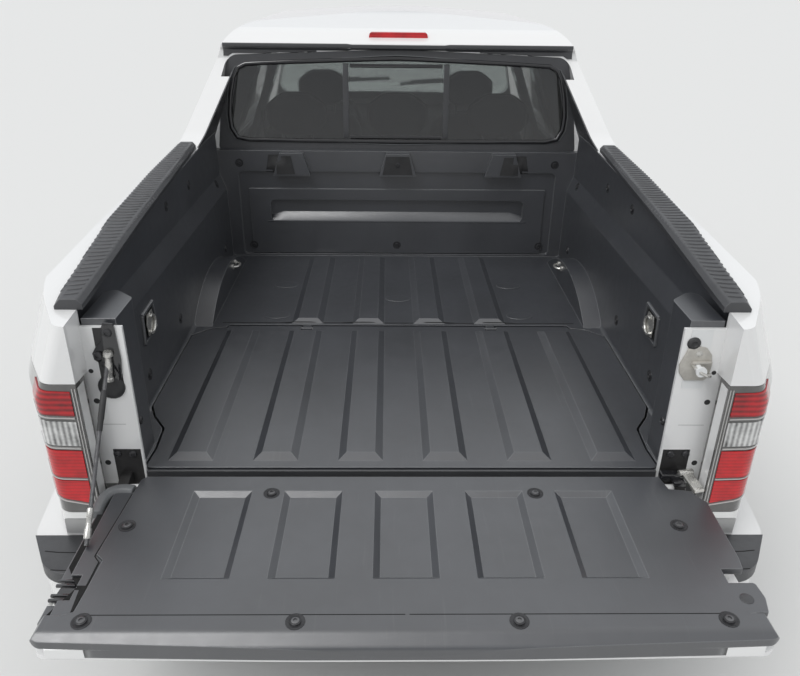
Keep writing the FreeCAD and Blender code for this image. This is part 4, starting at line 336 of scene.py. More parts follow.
# Finishes of pieces that only this scene has
stock(lens, "lamp_red", (0.30, 0.001, 0.003), (0.72, 0.003, 0.010), "Z", 36.0, 0.2, 0.80, slot="tail_lens")
stock(lens, "lamp_red_deep", (0.10, 0.001, 0.003), (0.52, 0.003, 0.009), "Z", 24.0, 0.2, 0.62, slot="tail_lens")
# The reversing lens's bright flutes are partly its moulding and partly painted highlights
stock(lens, "lamp_clear", (0.03, 0.03, 0.03), (0.70, 0.70, 0.69), "X", 26.0, 0.45, 0.68, slot="tail_lens")
stock(surface, "lamp_line", (0.50, 0.49, 0.48), 0.2, vary=0.1, patch=20.0, metal=0.5, coat=1.0, slot="tail_lens")
stock(surface, "wire_rope", (0.17, 0.17, 0.175), 0.38, vary=0.25, patch=60.0, metal=0.85, spread=0.1, slot="steel")
stock(surface, "zinc", (0.62, 0.61, 0.58), 0.3, vary=0.10, patch=30.0, grain=0.00005, grain_scale=500.0, metal=0.85,
      slot="steel")
stock(surface, "cast", (0.52, 0.50, 0.46), 0.5, vary=0.18, patch=30.0, grain=0.0005, grain_scale=420.0, metal=0.5,
      slot="steel")
stock(surface, "screw", (0.045, 0.045, 0.048), 0.34, vary=0.3, patch=40.0, metal=0.4, spread=0.1, slot="steel_dark")
stock(surface, "rubber", (0.035, 0.035, 0.036), 0.6, vary=0.25, patch=20.0, grain=0.0003, grain_scale=600.0,
      slot="trim_black")
stock(surface, "boot", (0.13, 0.135, 0.14), 0.45, vary=0.15, patch=20.0, grain=0.0003, grain_scale=500.0,
      slot="trim_black")
stock(surface, "shadow", (0.006, 0.006, 0.006), 0.9, vary=0.3, patch=20.0, slot="trim_black")
stock(surface, "paint_seam", (0.45, 0.45, 0.45), 0.5, vary=0.1, patch=8.0, slot="body_paint")
stock(catch_finish, "catches", slot="steel_dark")
stock(surface, "gloss_black", (0.012, 0.012, 0.014), 0.12, vary=0.2, patch=6.0, coat=0.8, spread=0.03,
      slot="trim_black")
stock(surface, "mirror_glass", (0.75, 0.78, 0.80), 0.03, vary=0.03, patch=3.0, metal=1.0, spread=0.01, slot="chrome")
stock(lens, "clear_dome", (0.22, 0.24, 0.27), (0.80, 0.82, 0.85), "X", 12.0, 0.4, slot="head_lens")
stock(lens, "amber", (0.45, 0.12, 0.005), (0.95, 0.38, 0.02), "Z", 40.0, 0.4, slot="head_lens")
stock(surface, "plate_white", (0.74, 0.74, 0.72), 0.4, vary=0.05, patch=12.0, coat=0.3, slot="body_paint")
stock(woven, "belt", (0.05, 0.05, 0.052), 2200.0, slot="seat_cloth")


def dress_frame():
    for part in frame["record"]["subparts"]:
        for slot in nodes[part["node"]].material_slots:
            slot.material = finishes[part["material_slot"]][0]
    for node, name in (("gate_catches", "catches"), ("tailgate_latch", "gloss_black"), ("stop_lamp", "lamp_red")):
        for slot in nodes[node].material_slots:
            slot.material = finishes[name][0]


# ---- Building pieces

def heading(points, i):
    """The way along points at one of them."""
    return (points[min(i + 1, len(points) - 1)] - points[max(i - 1, 0)]).normalized()


def ring(centre, side, other, radius, count):
    return [centre + (side * math.cos(a) + other * math.sin(a)) * radius
            for a in [2 * math.pi * i / count for i in range(count)]]


CLOSED_RADIUS = 0.00005


class Form:
    """Corners and faces of one piece, gathered from simple shapes."""

    def __init__(self):
        self.points = []
        self.faces = []

    def add(self, points, faces):
        base = len(self.points)
        self.points += [Vector(p) for p in points]
        self.faces += [tuple(base + i for i in face) for face in faces]

    def skin(self, rings):
        """Faces between closed rings of equal count, with the first and last filled."""
        count = len(rings[0])
        faces = []
        for i in range(len(rings) - 1):
            for j in range(count):
                k = (j + 1) % count
                faces.append((i * count + j, i * count + k, (i + 1) * count + k, (i + 1) * count + j))
        faces.append(tuple(range(count)))
        faces.append(tuple((len(rings) - 1) * count + j for j in range(count)))
        self.add([p for ring in rings for p in ring], faces)

    def lathe(self, centre, axis, profile, count=14):
        """Profile of radius and height turned about an axis; radius 0 closes it to a point's small disc."""
        axis = Vector(axis).normalized()
        side = axis.orthogonal().normalized()
        other = axis.cross(side)
        self.skin([ring(Vector(centre) + axis * height, side, other, max(radius, CLOSED_RADIUS), count)
                   for radius, height in profile])

    def plate(self, corners, depth):
        """A flat outline thickened by a vector."""
        self.skin([[Vector(c) for c in corners], [Vector(c) + Vector(depth) for c in corners]])

    def block(self, x, y, low, height):
        """An upright block over spans of x and y, from low up."""
        self.plate([(x[0], y[0], low), (x[1], y[0], low), (x[1], y[1], low), (x[0], y[1], low)], (0, 0, height))

    def slab(self, x, y, z, height):
        """A block over spans of x and y from z up, placed in the bed's millimetres and height metres thick."""
        low, high = bed(x[0], y[0], z), bed(x[1], y[1], z)
        self.block((low.x, high.x), (low.y, high.y), low.z, height)

    def bead(self, found, width, height, sink=0.0006):
        """A low bead on a surface, along places with their normals."""
        rings = []
        points = [p for p, _ in found]
        for i, (p, n) in enumerate(found):
            side = heading(points, i).cross(n).normalized() * (width / 2)
            rings.append([p - side - n * sink, p - side + n * height * 0.3, p - side * 0.6 + n * height,
                          p + side * 0.6 + n * height, p + side + n * height * 0.3, p + side - n * sink])
        self.skin(rings)

    def tube(self, points, radius, count=8):
        """Round bar along points."""
        rings = []
        side = None
        for i, p in enumerate(points):
            ahead = heading(points, i)
            side = ahead.orthogonal() if side is None else side - ahead * side.dot(ahead)
            side = side.normalized()
            rings.append(ring(p, side, ahead.cross(side), radius, count))
        self.skin(rings)


def gathered(points, faces):
    """A work mesh of corners and faces."""
    work = bmesh.new()
    corners = [work.verts.new(p) for p in points]
    for face in faces:
        work.faces.new([corners[i] for i in face])
    return work


def finished(work, name, finish, body, angle=None):
    """The work mesh as an object with its finish, shaded smooth up to the angle, riding on its body if it has one."""
    mesh = bpy.data.meshes.new(name)
    work.to_mesh(mesh)
    work.free()
    mesh.shade_smooth()
    if angle:
        mesh.set_sharp_from_angle(angle=math.radians(angle))
    material, slot = finishes[finish]
    mesh.materials.append(material)
    piece = bpy.data.objects.new(name, mesh)
    bpy.context.collection.objects.link(piece)
    if body:
        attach(piece, body)
    return piece


# Edges that turn by more than this, in radians, are rounded
ROUNDED_ABOVE = 0.5


def made(form, name, finish, body="root", bevel=0.0, mirror=False, angle=34.0):
    """The form as an object, its edges rounded and its mirror image added if asked. Body None is for a blend."""
    points, faces = list(form.points), list(form.faces)
    if mirror:
        count = len(points)
        faces += [tuple(count + i for i in reversed(face)) for face in faces]
        points += [Vector((-p.x, p.y, p.z)) for p in form.points]
    work = gathered(points, faces)
    bmesh.ops.recalc_face_normals(work, faces=work.faces)
    if bevel:
        sharp = [e for e in work.edges if len(e.link_faces) == 2 and e.calc_face_angle() > ROUNDED_ABOVE]
        bmesh.ops.bevel(work, geom=sharp, offset=bevel, segments=2, profile=0.5, affect="EDGES", clamp_overlap=True)
    return finished(work, name, finish, body, angle)


# ---- Seating pieces on the CAD's solids

DOWN = (0, 0, -1)
AHEAD = (0, 1, 0)
BACK = (0, -1, 0)
RIGHT = (1, 0, 0)
LEFT = (-1, 0, 0)

trees = {}


def met(node, start, towards):
    """Where a line from start meets a node, and the normal there turned against the line, or None."""
    if node not in trees:
        mesh = nodes[node].data
        trees[node] = BVHTree.FromPolygons([v.co for v in mesh.vertices], [tuple(p.vertices) for p in mesh.polygons])
    towards = Vector(towards)
    place, normal, _, _ = trees[node].ray_cast(start, towards.normalized())
    if place is None:
        return None
    return place, -normal if normal.dot(towards) > 0 else normal


def hit(node, start, towards):
    found = met(node, start, towards)
    if found is None:
        raise ValueError("nothing of %s at %s" % (node, tuple(round(c, 3) for c in start)))
    return found


def above(x, y):
    """A start over the bed floor or the lowered tailgate, for lines that run down."""
    return bed(x, y, 200)


def inside(x, z):
    """A start in the bed, for lines that run ahead to the headboard and the cab."""
    return bed(x, 1200, z)


def behind(x, z):
    """A start behind the jambs, for lines that run ahead."""
    return bed(x, -300, z)


def fitting(form, node, start, towards, profile, scale=1.0, count=16):
    """A turned fitting seated where a line from start meets the node."""
    place, normal = hit(node, start, towards)
    form.lathe(place, normal, [(r * scale, h * scale) for r, h in profile], count)


def turned(name, finish, centre, axis, profile, count=14, **more):
    """A piece of one turned profile."""
    form = Form()
    form.lathe(centre, axis, profile, count)
    return made(form, name, finish, **more)


def line(form, node, starts, towards, width, height):
    """A low bead laid on the node along the lines from starts; a line that misses the node is left out."""
    found = [place for place in (met(node, start, towards) for start in starts) if place]
    if len(found) > 1:
        form.bead(found, width, height)


def lined(name, finish, node, routes, towards, width, height, **more):
    """A piece of low beads laid on the node, one for each route of starts."""
    form = Form()
    for starts in routes:
        line(form, node, starts, towards, width, height)
    made(form, name, finish, **more)


PATCH_SINK = 0.0008


def patch(form, rows, height):
    """A thin slab lying on a surface: rows of (place, normal), all of one length."""
    top = [[p + n * height for p, n in row] for row in rows]
    low = [[p - n * PATCH_SINK for p, n in row] for row in rows]
    deep, wide = len(rows), len(rows[0])
    points = [p for row in top for p in row] + [p for row in low for p in row]
    under = deep * wide
    faces = []
    for i in range(deep - 1):
        for j in range(wide - 1):
            a = i * wide + j
            faces.append((a, a + 1, a + wide + 1, a + wide))
            faces.append((under + a, under + a + wide, under + a + wide + 1, under + a + 1))
    rim = list(range(wide)) + [i * wide + wide - 1 for i in range(1, deep)]
    rim += [(deep - 1) * wide + j for j in range(wide - 2, -1, -1)] + [i * wide for i in range(deep - 2, 0, -1)]
    for a, b in zip(rim, rim[1:] + rim[:1]):
        faces.append((a, under + a, under + b, b))
    form.add(points, faces)


def laid(form, node, rows, towards, height):
    """A thin slab on the node along lines from rows of starts; every line has to meet the node."""
    patch(form, [[hit(node, start, towards) for start in row] for row in rows], height)


def met_rows(node, rows, towards):
    """Rows of places and normals from rows of starts, without the rows that miss the node somewhere."""
    found = [[met(node, start, towards) for start in row] for row in rows]
    return [row for row in found if all(row)]


def spread(low, high, count):
    return [low + (high - low) * i / (count - 1) for i in range(count)]


# ---- Turned profiles: radius and height

BOLT = ((0.0190, -0.0006), (0.0186, 0.0010), (0.0165, 0.0014), (0.0140, 0.0003), (0.0112, 0.0003),
        (0.0108, 0.0026), (0.0092, 0.0036), (0.0055, 0.0036), (0.0046, 0.0018), (0.0, 0.0018))
SCREW = ((0.0095, -0.0006), (0.0095, 0.0016), (0.0080, 0.0040), (0.0042, 0.0046), (0.0036, 0.0028), (0.0, 0.0028))
HEAD = ((0.0080, 0.0020), (0.0078, 0.0040), (0.0066, 0.0046), (0.0040, 0.0046), (0.0034, 0.0026), (0.0, 0.0026))
PLUG = ((0.0150, -0.0006), (0.0148, 0.0008), (0.0120, 0.0018), (0.0060, 0.0022), (0.0, 0.0022))
HOLE = ((0.0120, -0.0006), (0.0115, 0.0005), (0.0060, 0.0006), (0.0, 0.0006))
FOOT = ((0.030, 0.0), (0.030, 0.004), (0.024, 0.009), (0.014, 0.010), (0.0, 0.010))
SWIVEL = ((0.0, -0.002), (0.0085, -0.002), (0.0105, 0.002), (0.0105, 0.009), (0.0070, 0.012), (0.0070, 0.026),
          (0.0080, 0.028), (0.0080, 0.050), (0.0070, 0.052), (0.0070, 0.062), (0.0090, 0.064), (0.0090, 0.071),
          (0.0, 0.073))
SLEEVE = ((0.0, 0.0), (0.0058, 0.0), (0.0068, 0.004), (0.0068, 0.062), (0.0060, 0.066), (0.0060, 0.088),
          (0.0, 0.088))
SWAGE = ((0.0, 0.0), (0.0058, 0.0), (0.0068, 0.003), (0.0068, 0.020), (0.0060, 0.022), (0.0060, 0.040),
         (0.0078, 0.043), (0.0078, 0.062), (0.0, 0.064))
BUFFER = ((0.0150, -0.001), (0.0150, 0.0020), (0.0115, 0.0052), (0.0070, 0.0058), (0.0046, 0.0030), (0.0, 0.0030))
LOOP_FOOT = ((0.011, -0.001), (0.011, 0.004), (0.007, 0.007), (0.0, 0.007))
CASTING_BOLT = ((0.008, -0.001), (0.008, 0.0015), (0.005, 0.0025), (0.0, 0.0025))
LINK_PIN = ((0.0, -0.018), (0.008, -0.018), (0.008, 0.018), (0.0, 0.018))
ROLLER = ((0.007, -0.004), (0.007, 0.004), (0.005, 0.006), (0.0, 0.006))
BELT_GUIDE = ((0.034, -0.006), (0.034, 0.004), (0.024, 0.010), (0.0, 0.010))
NUT = ((0.0098, 0.0), (0.0098, 0.010), (0.0075, 0.015), (0.0, 0.0165))
HUB_CAP = ((0.033, 0.0), (0.033, 0.002), (0.027, 0.0045), (0.012, 0.0055), (0.0, 0.0055))
VALVE = ((0.004, -0.012), (0.004, 0.010), (0.0, 0.012))

# ---- Bed and tailgate, in the bed's millimetres

GATE_BOLTS = ((302, -79), (-302, -79), (595, -190), (-595, -190))
CAP_BOLTS = ((596, -450), (206, -452), (-206, -452), (-596, -450))
WALL_BOLTS = ((771, 426), (1391, 76), (685, 88), (1425, 329), (346, 74), (1050, 420))
HEAD_BOLTS = ((634, 390), (-634, 390), (0, 390), (600, 45), (-600, 45), (0, 47))
FLOOR_PADS = ((424, 909), (-424, 909), (425, 1189), (-425, 1189), (0, 1060))
HOOK_WINDOW = ((343, 168), (352, 246), (446, 250), (452, 172))
# The gate's left edge cover: y and the x of its inner edge, and the notch of the latch where it is narrow
EDGE_COVER = ((-72, -618), (-140, -622), (-208, -627), (-274, -632), (-292, -617), (-360, -618), (-428, -622))
LATCH_NOTCH = (-392, -326)
# Moulded cross ribs on the rail caps, bowed along the truck
RIBS, FIRST_RIB, RIB_PITCH, RIB_BOW = 56, 34.0, 21.5, 9.0


def between(a, b, t):
    return tuple(p + (q - p) * t for p, q in zip(a, b))


def dress_gate():
    """The lowered tailgate's bolts, its left edge cover, plug and cap seam."""
    for profile, name, finish in ((BOLT, "gate_liner_bolts", "screw"), (HEAD, "gate_bolt_heads", "wire_rope")):
        form = Form()
        for x, y in GATE_BOLTS + CAP_BOLTS:
            fitting(form, "tailgate_liner", above(x, y), DOWN, profile)
        made(form, name, finish, "tailgate")

    form = Form()
    rows = []
    for y, edge in EDGE_COVER:
        outer = (-639, -636, -630) if LATCH_NOTCH[0] < y < LATCH_NOTCH[1] else (-683, -674, -666)
        rows.append([above(x, y) for x in outer + (edge - 2.0,)])
    laid(form, "tailgate_liner", rows, DOWN, 0.0012)
    made(form, "gate_edge_cover", "shadow", "tailgate", angle=20.0)
    form = Form()
    fitting(form, "tailgate_liner", above(651, -400), DOWN, PLUG, 0.9, 20)
    made(form, "gate_liner_plug", "trim_black", "tailgate")
    seams = [[above(side * x, -436) for x in spread(4, 590, 24)] for side in (-1, 1)]
    lined("gate_cap_seam", "shadow", "tailgate_liner", seams, DOWN, 0.0020, 0.0004, body="tailgate")


def dress_bed():
    """The bed's bolts and floor pads, the headboard's shelf and the dark pads on its stops that paint their shade,
    ribs on the rail caps, and the floor's seam.
    """
    form = Form()
    for y, z in WALL_BOLTS:
        for side in (-1, 1):
            fitting(form, "bed_liner", bed(side * 400, y, z), (side, 0, 0), BOLT, 0.9)
    for x, z in HEAD_BOLTS:
        fitting(form, "bed_liner", inside(x, z), AHEAD, BOLT, 0.9)
    for side in (-1, 1):
        fitting(form, "bed_liner", bed(side * 560, 56, 110), (side, 0, 0), SCREW, 1.1)
    made(form, "bed_liner_bolts", "screw")

    form = Form()
    for x, y in FLOOR_PADS:
        rows = []
        for v in spread(-1.0, 1.0, 7):
            half = 46 * math.sqrt(max(1.0 - v * v, 0.04))
            rows.append([above(x + u * half, y + v * 30) for u in spread(-1.0, 1.0, 7)])
        laid(form, "bed_liner", rows, DOWN, 0.0018)
    made(form, "floor_pads", "bed_plastic", angle=50.0)

    # Sloping shelf in the headboard's slot, and dark pads on its three stops: painted shade for their down-turned
    # faces
    form = Form()
    floor_y = hit("bed_liner", inside(0, 200), AHEAD)[0].y
    face_y = hit("bed_liner", inside(0, 120), AHEAD)[0].y
    rings = []
    for x in (-538, -470, 0, 470, 538):
        ends = 0.25 if abs(x) > 500 else 1.0
        rings.append([Vector((bed(x, 0, 0).x, y, BED_Z + z / 1000.0)) for y, z in
                      ((floor_y + 0.002, 160 + 30 * ends), (face_y - 0.001, 152), (face_y - 0.001, 144),
                       (floor_y + 0.002, 144))])
    form.skin(rings)
    made(form, "headboard_shelf", "bed_plastic", bevel=0.003)
    form = Form()
    for middle in (-470, 0, 470):
        rows = []
        for z in spread(352, 424, 6):
            half = 60 - 14 * (z - 352) / 72.0
            rows.append([inside(middle + u * half, z) for u in spread(-1.0, 1.0, 6)])
        laid(form, "bed_liner", rows, AHEAD, 0.0020)
    made(form, "headboard_stop_shade_pads", "rubber", angle=50.0)

    dress_hooks()
    ribs = []
    for i in range(RIBS):
        y = FIRST_RIB + RIB_PITCH * i
        ribs.append([bed(x, y + RIB_BOW * ((x - 745.0) / 45.0) ** 2, 700) for x in spread(706, 786, 7)])
    lined("rail_cap_ribs", "trim_black", "rail_caps", ribs, DOWN, 0.0075, 0.0019, mirror=True, angle=50.0)
    # Seam across the floor ahead of the trunk's lid
    seam = [above(x, 846) for x in spread(-600, 600, 25)]
    lined("floor_seam", "shadow", "bed_liner", [seam], DOWN, 0.004, 0.0008)


def dress_hooks():
    """A framed window in each wall with a bright hook folded in it, and tie loops in the floor's front corners."""
    frames, hooks, wells = Form(), Form(), Form()
    for i in range(4):
        a, b = HOOK_WINDOW[i], HOOK_WINDOW[(i + 1) % 4]
        line(frames, "bed_liner", [bed(500, *between(a, b, t)) for t in spread(0.0, 1.0, 6)], RIGHT, 0.011, 0.006)
    rows = []
    for v in spread(0.06, 0.94, 5):
        left = between(HOOK_WINDOW[0], HOOK_WINDOW[1], v)
        right = between(HOOK_WINDOW[3], HOOK_WINDOW[2], v)
        rows.append([bed(500, *between(left, right, u)) for u in spread(0.04, 0.96, 5)])
    laid(wells, "bed_liner", rows, RIGHT, 0.0006)
    wall, inward = hit("bed_liner", bed(500, 398, 208), RIGHT)
    along = Vector((0, 1, 0))
    up = inward.cross(along)
    up = up if up.z > 0 else -up
    base = wall + inward * 0.004
    outline = ((-0.026, -0.030), (0.024, -0.030), (0.030, 0.000), (0.022, 0.030), (-0.020, 0.030), (-0.032, 0.004))
    hooks.plate([base + along * a + up * b for a, b in outline], inward * 0.003)
    hooks.tube([base + inward * 0.006 + along * (0.027 * math.cos(a)) + up * (0.024 * math.sin(a) - 0.004)
                for a in spread(-2.6, 1.9, 14)], 0.0042)
    hooks.lathe(base + up * 0.022, inward, [(r * 0.8, h) for r, h in SCREW], 12)
    made(frames, "hook_windows", "bed_plastic", mirror=True)
    made(wells, "hook_wells", "shadow", mirror=True)
    made(hooks, "cargo_hooks", "zinc", bevel=0.0006, mirror=True)

    form = Form()
    place, normal = hit("bed_liner", bed(500, 1227, 74), RIGHT)
    up = Vector((0, 0, 1))
    form.tube([place + normal * (0.004 + 0.020 * math.sin(a)) + along * (0.026 * math.cos(a)) - up * 0.006
               for a in spread(0.0, math.pi, 12)], 0.0042)
    for y in (-0.026, 0.026):
        form.lathe(place + Vector((0, y, -0.006)), normal, LOOP_FOOT, 12)
    made(form, "tie_loops", "zinc", mirror=True)


# ---- Rear corners: lamps, jambs, strap, hinges, latch

LAMP_POST = (752, 46)
LAMP_REAR = -17
LAMP_STEPS = 25
LAMP_RISE = 5.0


def corner_point(angle, z):
    """Where a level line from outside towards a post in the corner meets the lamp; 0 looks ahead, 90 inwards."""
    turn = math.radians(angle)
    out = Vector((math.sin(turn), -math.cos(turn), 0.0))
    return hit("tail_lamps", bed(LAMP_POST[0], LAMP_POST[1], z) + out * 0.45, -out)


def lamp_band(form, outer, low, high, taper=0.0):
    """A lens segment around the corner to an outer angle; both edges rise outward, the lower one by taper more."""
    rows = []
    for v in spread(0.0, 1.0, 10):
        row = []
        for i, angle in enumerate(spread(LAMP_REAR, outer, LAMP_STEPS + 1)):
            share = i / LAMP_STEPS
            rise = LAMP_RISE * share
            bottom = low + rise + taper * share
            row.append(corner_point(angle, bottom + (high + rise - bottom) * v))
        rows.append(row)
    patch(form, rows, 0.0022)


def lamp_line(form, outer, z, width, height, taper=0.0):
    found = [corner_point(angle, z + (LAMP_RISE + taper) * i / LAMP_STEPS)
             for i, angle in enumerate(spread(LAMP_REAR, outer, LAMP_STEPS + 1))]
    form.bead(found, width, height)


def dress_lamps():
    for name, finish, bands in (("lamp_stop", "lamp_red_deep", ((52, 196, 256, 0.0),)),
                                ("lamp_reverse", "lamp_clear", ((50, 118, 180, 0.0),)),
                                ("lamp_tail", "lamp_red", ((58, 32, 104, 0.0), (58, -40, 22, 26.0)))):
        form = Form()
        for outer, low, high, taper in bands:
            lamp_band(form, outer, low, high, taper)
        made(form, name, finish, mirror=True, angle=60.0)
    form = Form()
    lamp_line(form, 68, 190, 0.0045, 0.0030)
    lamp_line(form, 60, 111, 0.0045, 0.0030)
    lamp_line(form, 68, 27, 0.0040, 0.0030)
    lamp_line(form, 62, -46, 0.0045, 0.0028, taper=26.0)
    made(form, "lamp_light_guides", "lamp_line", mirror=True, angle=60.0)
    # The painted return behind the lamp's inner edge
    form = Form()
    rows = [[bed(640, y, z) for y in (-56, -40, -24, -8, 6)] for z in spread(-58, 262, 14)]
    patch(form, met_rows("tail_lamps", rows, RIGHT), 0.0010)
    made(form, "lamp_returns", "body_paint", mirror=True)
    form = Form()
    for angle in (-22.5, -19.5):
        form.bead([corner_point(angle, z) for z in spread(-52, 264, 24)], 0.0028, 0.0018)
    made(form, "lamp_edge_lines", "lamp_line", mirror=True, angle=60.0)


def at_depth(outline, y):
    """Corners of a flat outline of x and z at a depth y in metres."""
    return [Vector((bed(x, 0, z).x, y, bed(x, 0, z).z)) for x, z in outline]


def dress_strap():
    """Left jamb: the strap's bracket with its lobes, bolts, round foot and swivel."""
    back = hit("gate_catches", behind(-640, 350), AHEAD)[0].y
    lobes = ((-628, 388), (-650, 390), (-658, 372), (-660, 345), (-674, 332), (-684, 316), (-682, 300),
             (-670, 292), (-664, 276), (-662, 252), (-636, 246), (-628, 262), (-624, 300))
    form = Form()
    form.plate(at_depth(lobes, back + 0.001), (0, -0.006, 0))
    made(form, "strap_bracket", "gloss_black", bevel=0.0014)
    form = Form()
    for place in at_depth(((-643, 367), (-671, 312)), back - 0.005):
        form.lathe(place, BACK, [(r * 1.1, h * 1.2) for r, h in SCREW], 12)
    made(form, "strap_bracket_bolts", "screw")
    turned("strap_foot", "rubber", at_depth(((-656, 231),), back + 0.001)[0], BACK, FOOT, 20, angle=50.0)
    top, foot = bed(-646, -7, 324), bed(-653, -7, 252)
    turned("strap_swivel", "zinc", top, foot - top, SWIVEL, 20)


CABLE_STEPS = 110
LAY_LENGTH = 0.036


def dress_stay():
    """The stay cable: six strands laid round a core, with a sleeve at its top and a swaged fitting at its foot."""
    upper, lower = bed(-652, -7, 294), bed(-662, -246, -4.6)
    ahead = (lower - upper).normalized()
    side = ahead.orthogonal().normalized()
    other = ahead.cross(side)
    length = (lower - upper).length
    along = [length * i / CABLE_STEPS for i in range(CABLE_STEPS + 1)]
    form = Form()
    form.tube([upper + ahead * way for way in along], 0.0026, 8)
    for strand in range(6):
        route = []
        for way in along:
            turn = 2 * math.pi * (strand / 6.0 + way / LAY_LENGTH)
            round_core = side * math.cos(turn) + other * math.sin(turn)
            route.append(upper + ahead * way + round_core * 0.0032)
        form.tube(route, 0.0016, 6)
    cable = made(form, "stay_cable", "wire_rope", None, angle=60.0)
    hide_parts("tailgate_cable")
    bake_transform(cable)
    for name, finish, share, profile in (("stay_sleeve", "rubber", 0.15, SLEEVE),
                                         ("stay_fitting", "zinc", 0.80, SWAGE)):
        piece = turned(name, finish, upper + ahead * (length * share), ahead, profile, 16, body=None)
        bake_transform(piece)


def dress_striker():
    """Right jamb: the rubber buffer above the striker, and the striker's cast cover and loop."""
    place = hit("gate_catches", behind(637, 344), AHEAD)[0]
    turned("jamb_buffer", "rubber", place, BACK, BUFFER, 20, angle=50.0)
    outline = ((626, 332), (648, 338), (668, 334), (682, 316), (686, 292), (684, 262), (674, 252), (630, 252),
               (616, 270), (612, 292), (620, 312))
    form = Form()
    form.plate(at_depth(outline, place.y + 0.001), (0, -0.0055, 0))
    form.plate(at_depth(((637, 297), (682, 299), (681, 305), (638, 303)), place.y - 0.004), (0, -0.010, 0))
    made(form, "striker_casting", "cast", bevel=0.0022)
    form = Form()
    loop = ((640, 2, 294), (641, -20, 293), (649, -29, 289), (664, -29, 281), (674, -22, 277), (677, 2, 276))
    form.tube([bed(*p) for p in loop], 0.0042, 10)
    form.lathe(bed(652, 2, 320), BACK, CASTING_BOLT, 12)
    made(form, "striker_loop", "zinc")


def smoothed(route):
    """A Catmull-Rom curve through the route's points."""
    smooth = []
    for i in range(len(route) - 1):
        before, after = Vector(route[max(i - 1, 0)]), Vector(route[min(i + 2, len(route) - 1)])
        here, there = Vector(route[i]), Vector(route[i + 1])
        for t in (0.0, 0.25, 0.5, 0.75):
            square = (2 * before - 5 * here + 4 * there - after) * t * t
            cube = (3 * here - before - 3 * there + after) * t * t * t
            smooth.append(0.5 * (2 * here + (there - before) * t + square + cube))
    return smooth + [Vector(route[-1])]


def dress_hinges():
    """The left hinge's rubber boot, and the right hinge's bright link and black blocks."""
    form = Form()
    route = ((-686, -128, -24), (-687, -96, -19), (-680, -72, -14), (-664, -58, -12), (-642, -54, -12),
             (-622, -56, -13))
    form.bead([(bed(*p), Vector((0, 0, 1))) for p in smoothed(route)], 0.028, 0.013, sink=0.008)
    made(form, "hinge_boot", "boot", "tailgate", bevel=0.002, angle=60.0)
    form = Form()
    ends = bed(671, -16, 8), bed(688, -68, -8)
    across = Vector((0.5, 0.12, 0)).normalized() * 0.013
    up = Vector((0, 0, 0.008))
    form.skin([[p - across, p + across, p + across + up, p - across + up] for p in ends])
    form.lathe(ends[0] + Vector((0, 0, 0.004)), (1, 0.2, 0), LINK_PIN)
    made(form, "hinge_link", "zinc", bevel=0.0014)
    form = Form()
    for x, y, z, wide, deep, high in ((637, -16, -6, 26, 12, 18), (650, -30, -10, 14, 16, 12)):
        form.slab((x - wide, x + wide), (y - deep, y + deep), z, high / 1000.0)
    made(form, "hinge_blocks", "gloss_black", bevel=0.003)


def dress_latch():
    """The catch in the notch of the gate's right edge, and the latch's ribs and pale roller in its left edge."""
    form = Form()
    form.plate([bed(x, y, -45) for x, y in ((640, -396), (690, -396), (688, -336), (640, -336))], (0, 0, 0.004))
    form.slab((642, 652), (-382, -340), -42, 0.010)
    made(form, "catch_lining", "gloss_black", "tailgate", bevel=0.001)
    form = Form()
    for y in (-378, -352):
        form.slab((656, 684), (y, y + 8), -41, 0.005)
    made(form, "catch_claw", "zinc", "tailgate", bevel=0.0008)
    form = Form()
    for y in (-384, -372, -346, -334):
        form.slab((-686, -648), (y - 3, y + 3), -20, 0.006)
    made(form, "latch_ribs", "gloss_black", "tailgate", bevel=0.001)
    turned("latch_roller", "plate_white", bed(-683, -378, -26), (-1, 0, 0.5), ROLLER, body="tailgate")


def dress_jambs():
    dress_strap()
    dress_stay()
    dress_striker()
    dress_hinges()
    dress_latch()

    # Dark holes down both jambs, the seam where their two pressings meet, and the hinge leaves' bolts
    form = Form()
    for x, z, scale in ((696, 270, 0.62), (696, 193, 0.8), (698, 24, 0.8)):
        for side in (-1, 1):
            fitting(form, "bed_sides", behind(side * x, z), AHEAD, HOLE, scale * 0.75)
    made(form, "jamb_plugs", "rubber")
    seam = [behind(x, 131) for x in spread(640, 700, 10)]
    lined("jamb_seams", "paint_seam", "bed_sides", [seam], AHEAD, 0.0018, 0.0003, mirror=True)
    form = Form()
    for side in (-1, 1):
        for x in (672, 636):
            if met("tailgate_hinges", behind(side * x, 49), AHEAD):
                fitting(form, "tailgate_hinges", behind(side * x, 49), AHEAD, SCREW, 1.0, 12)
    made(form, "hinge_bolts", "screw")


def dress_step_pads():
    arc = ((-899, -44), (-896, -72), (-884, -98), (-862, -116), (-832, -124), (-800, -126), (-770, -127))
    short = ((-860, -62), (-830, -66), (-800, -67), (-768, -67))
    routes = []
    for route in (arc, short):
        dense = [between(a, b, t) for a, b in zip(route, route[1:]) for t in (0.0, 0.33, 0.66)]
        routes.append([bed(x, y, 0) for x, y in dense + [route[-1]]])
    lined("step_pad_lines", "shadow", "step_pads", routes, DOWN, 0.0030, 0.0004, mirror=True)


# ---- Cab's rear window

# Heights that a strip of the roof's trim may span: on its edge's rear face, and on the face below it
EDGE_SPANS = ((806, 831), (812, 829), (815, 827))
BELOW_SPANS = ((772, 808), (784, 808), (794, 808), (798, 808), (800, 810))
FLAT_WITHIN = 0.012
GLASS_OUTLINE = ((0, 474), (400, 474), (590, 475), (636, 484), (657, 520), (662, 570), (655, 640), (640, 706),
                 (622, 740), (590, 755), (400, 764), (200, 771), (0, 776))
GLASS_MIDDLE_Z = 622


def trim_column(x, spans):
    """Places up the roof's edge at x, over the first span in which they lie in one face, or None."""
    for low, high in spans:
        column = [met("cab_shell", inside(x, z), AHEAD) for z in spread(low, high, 5)]
        if all(column) and max(p.y for p, _ in column) - min(p.y for p, _ in column) < FLAT_WITHIN:
            return column
    return None


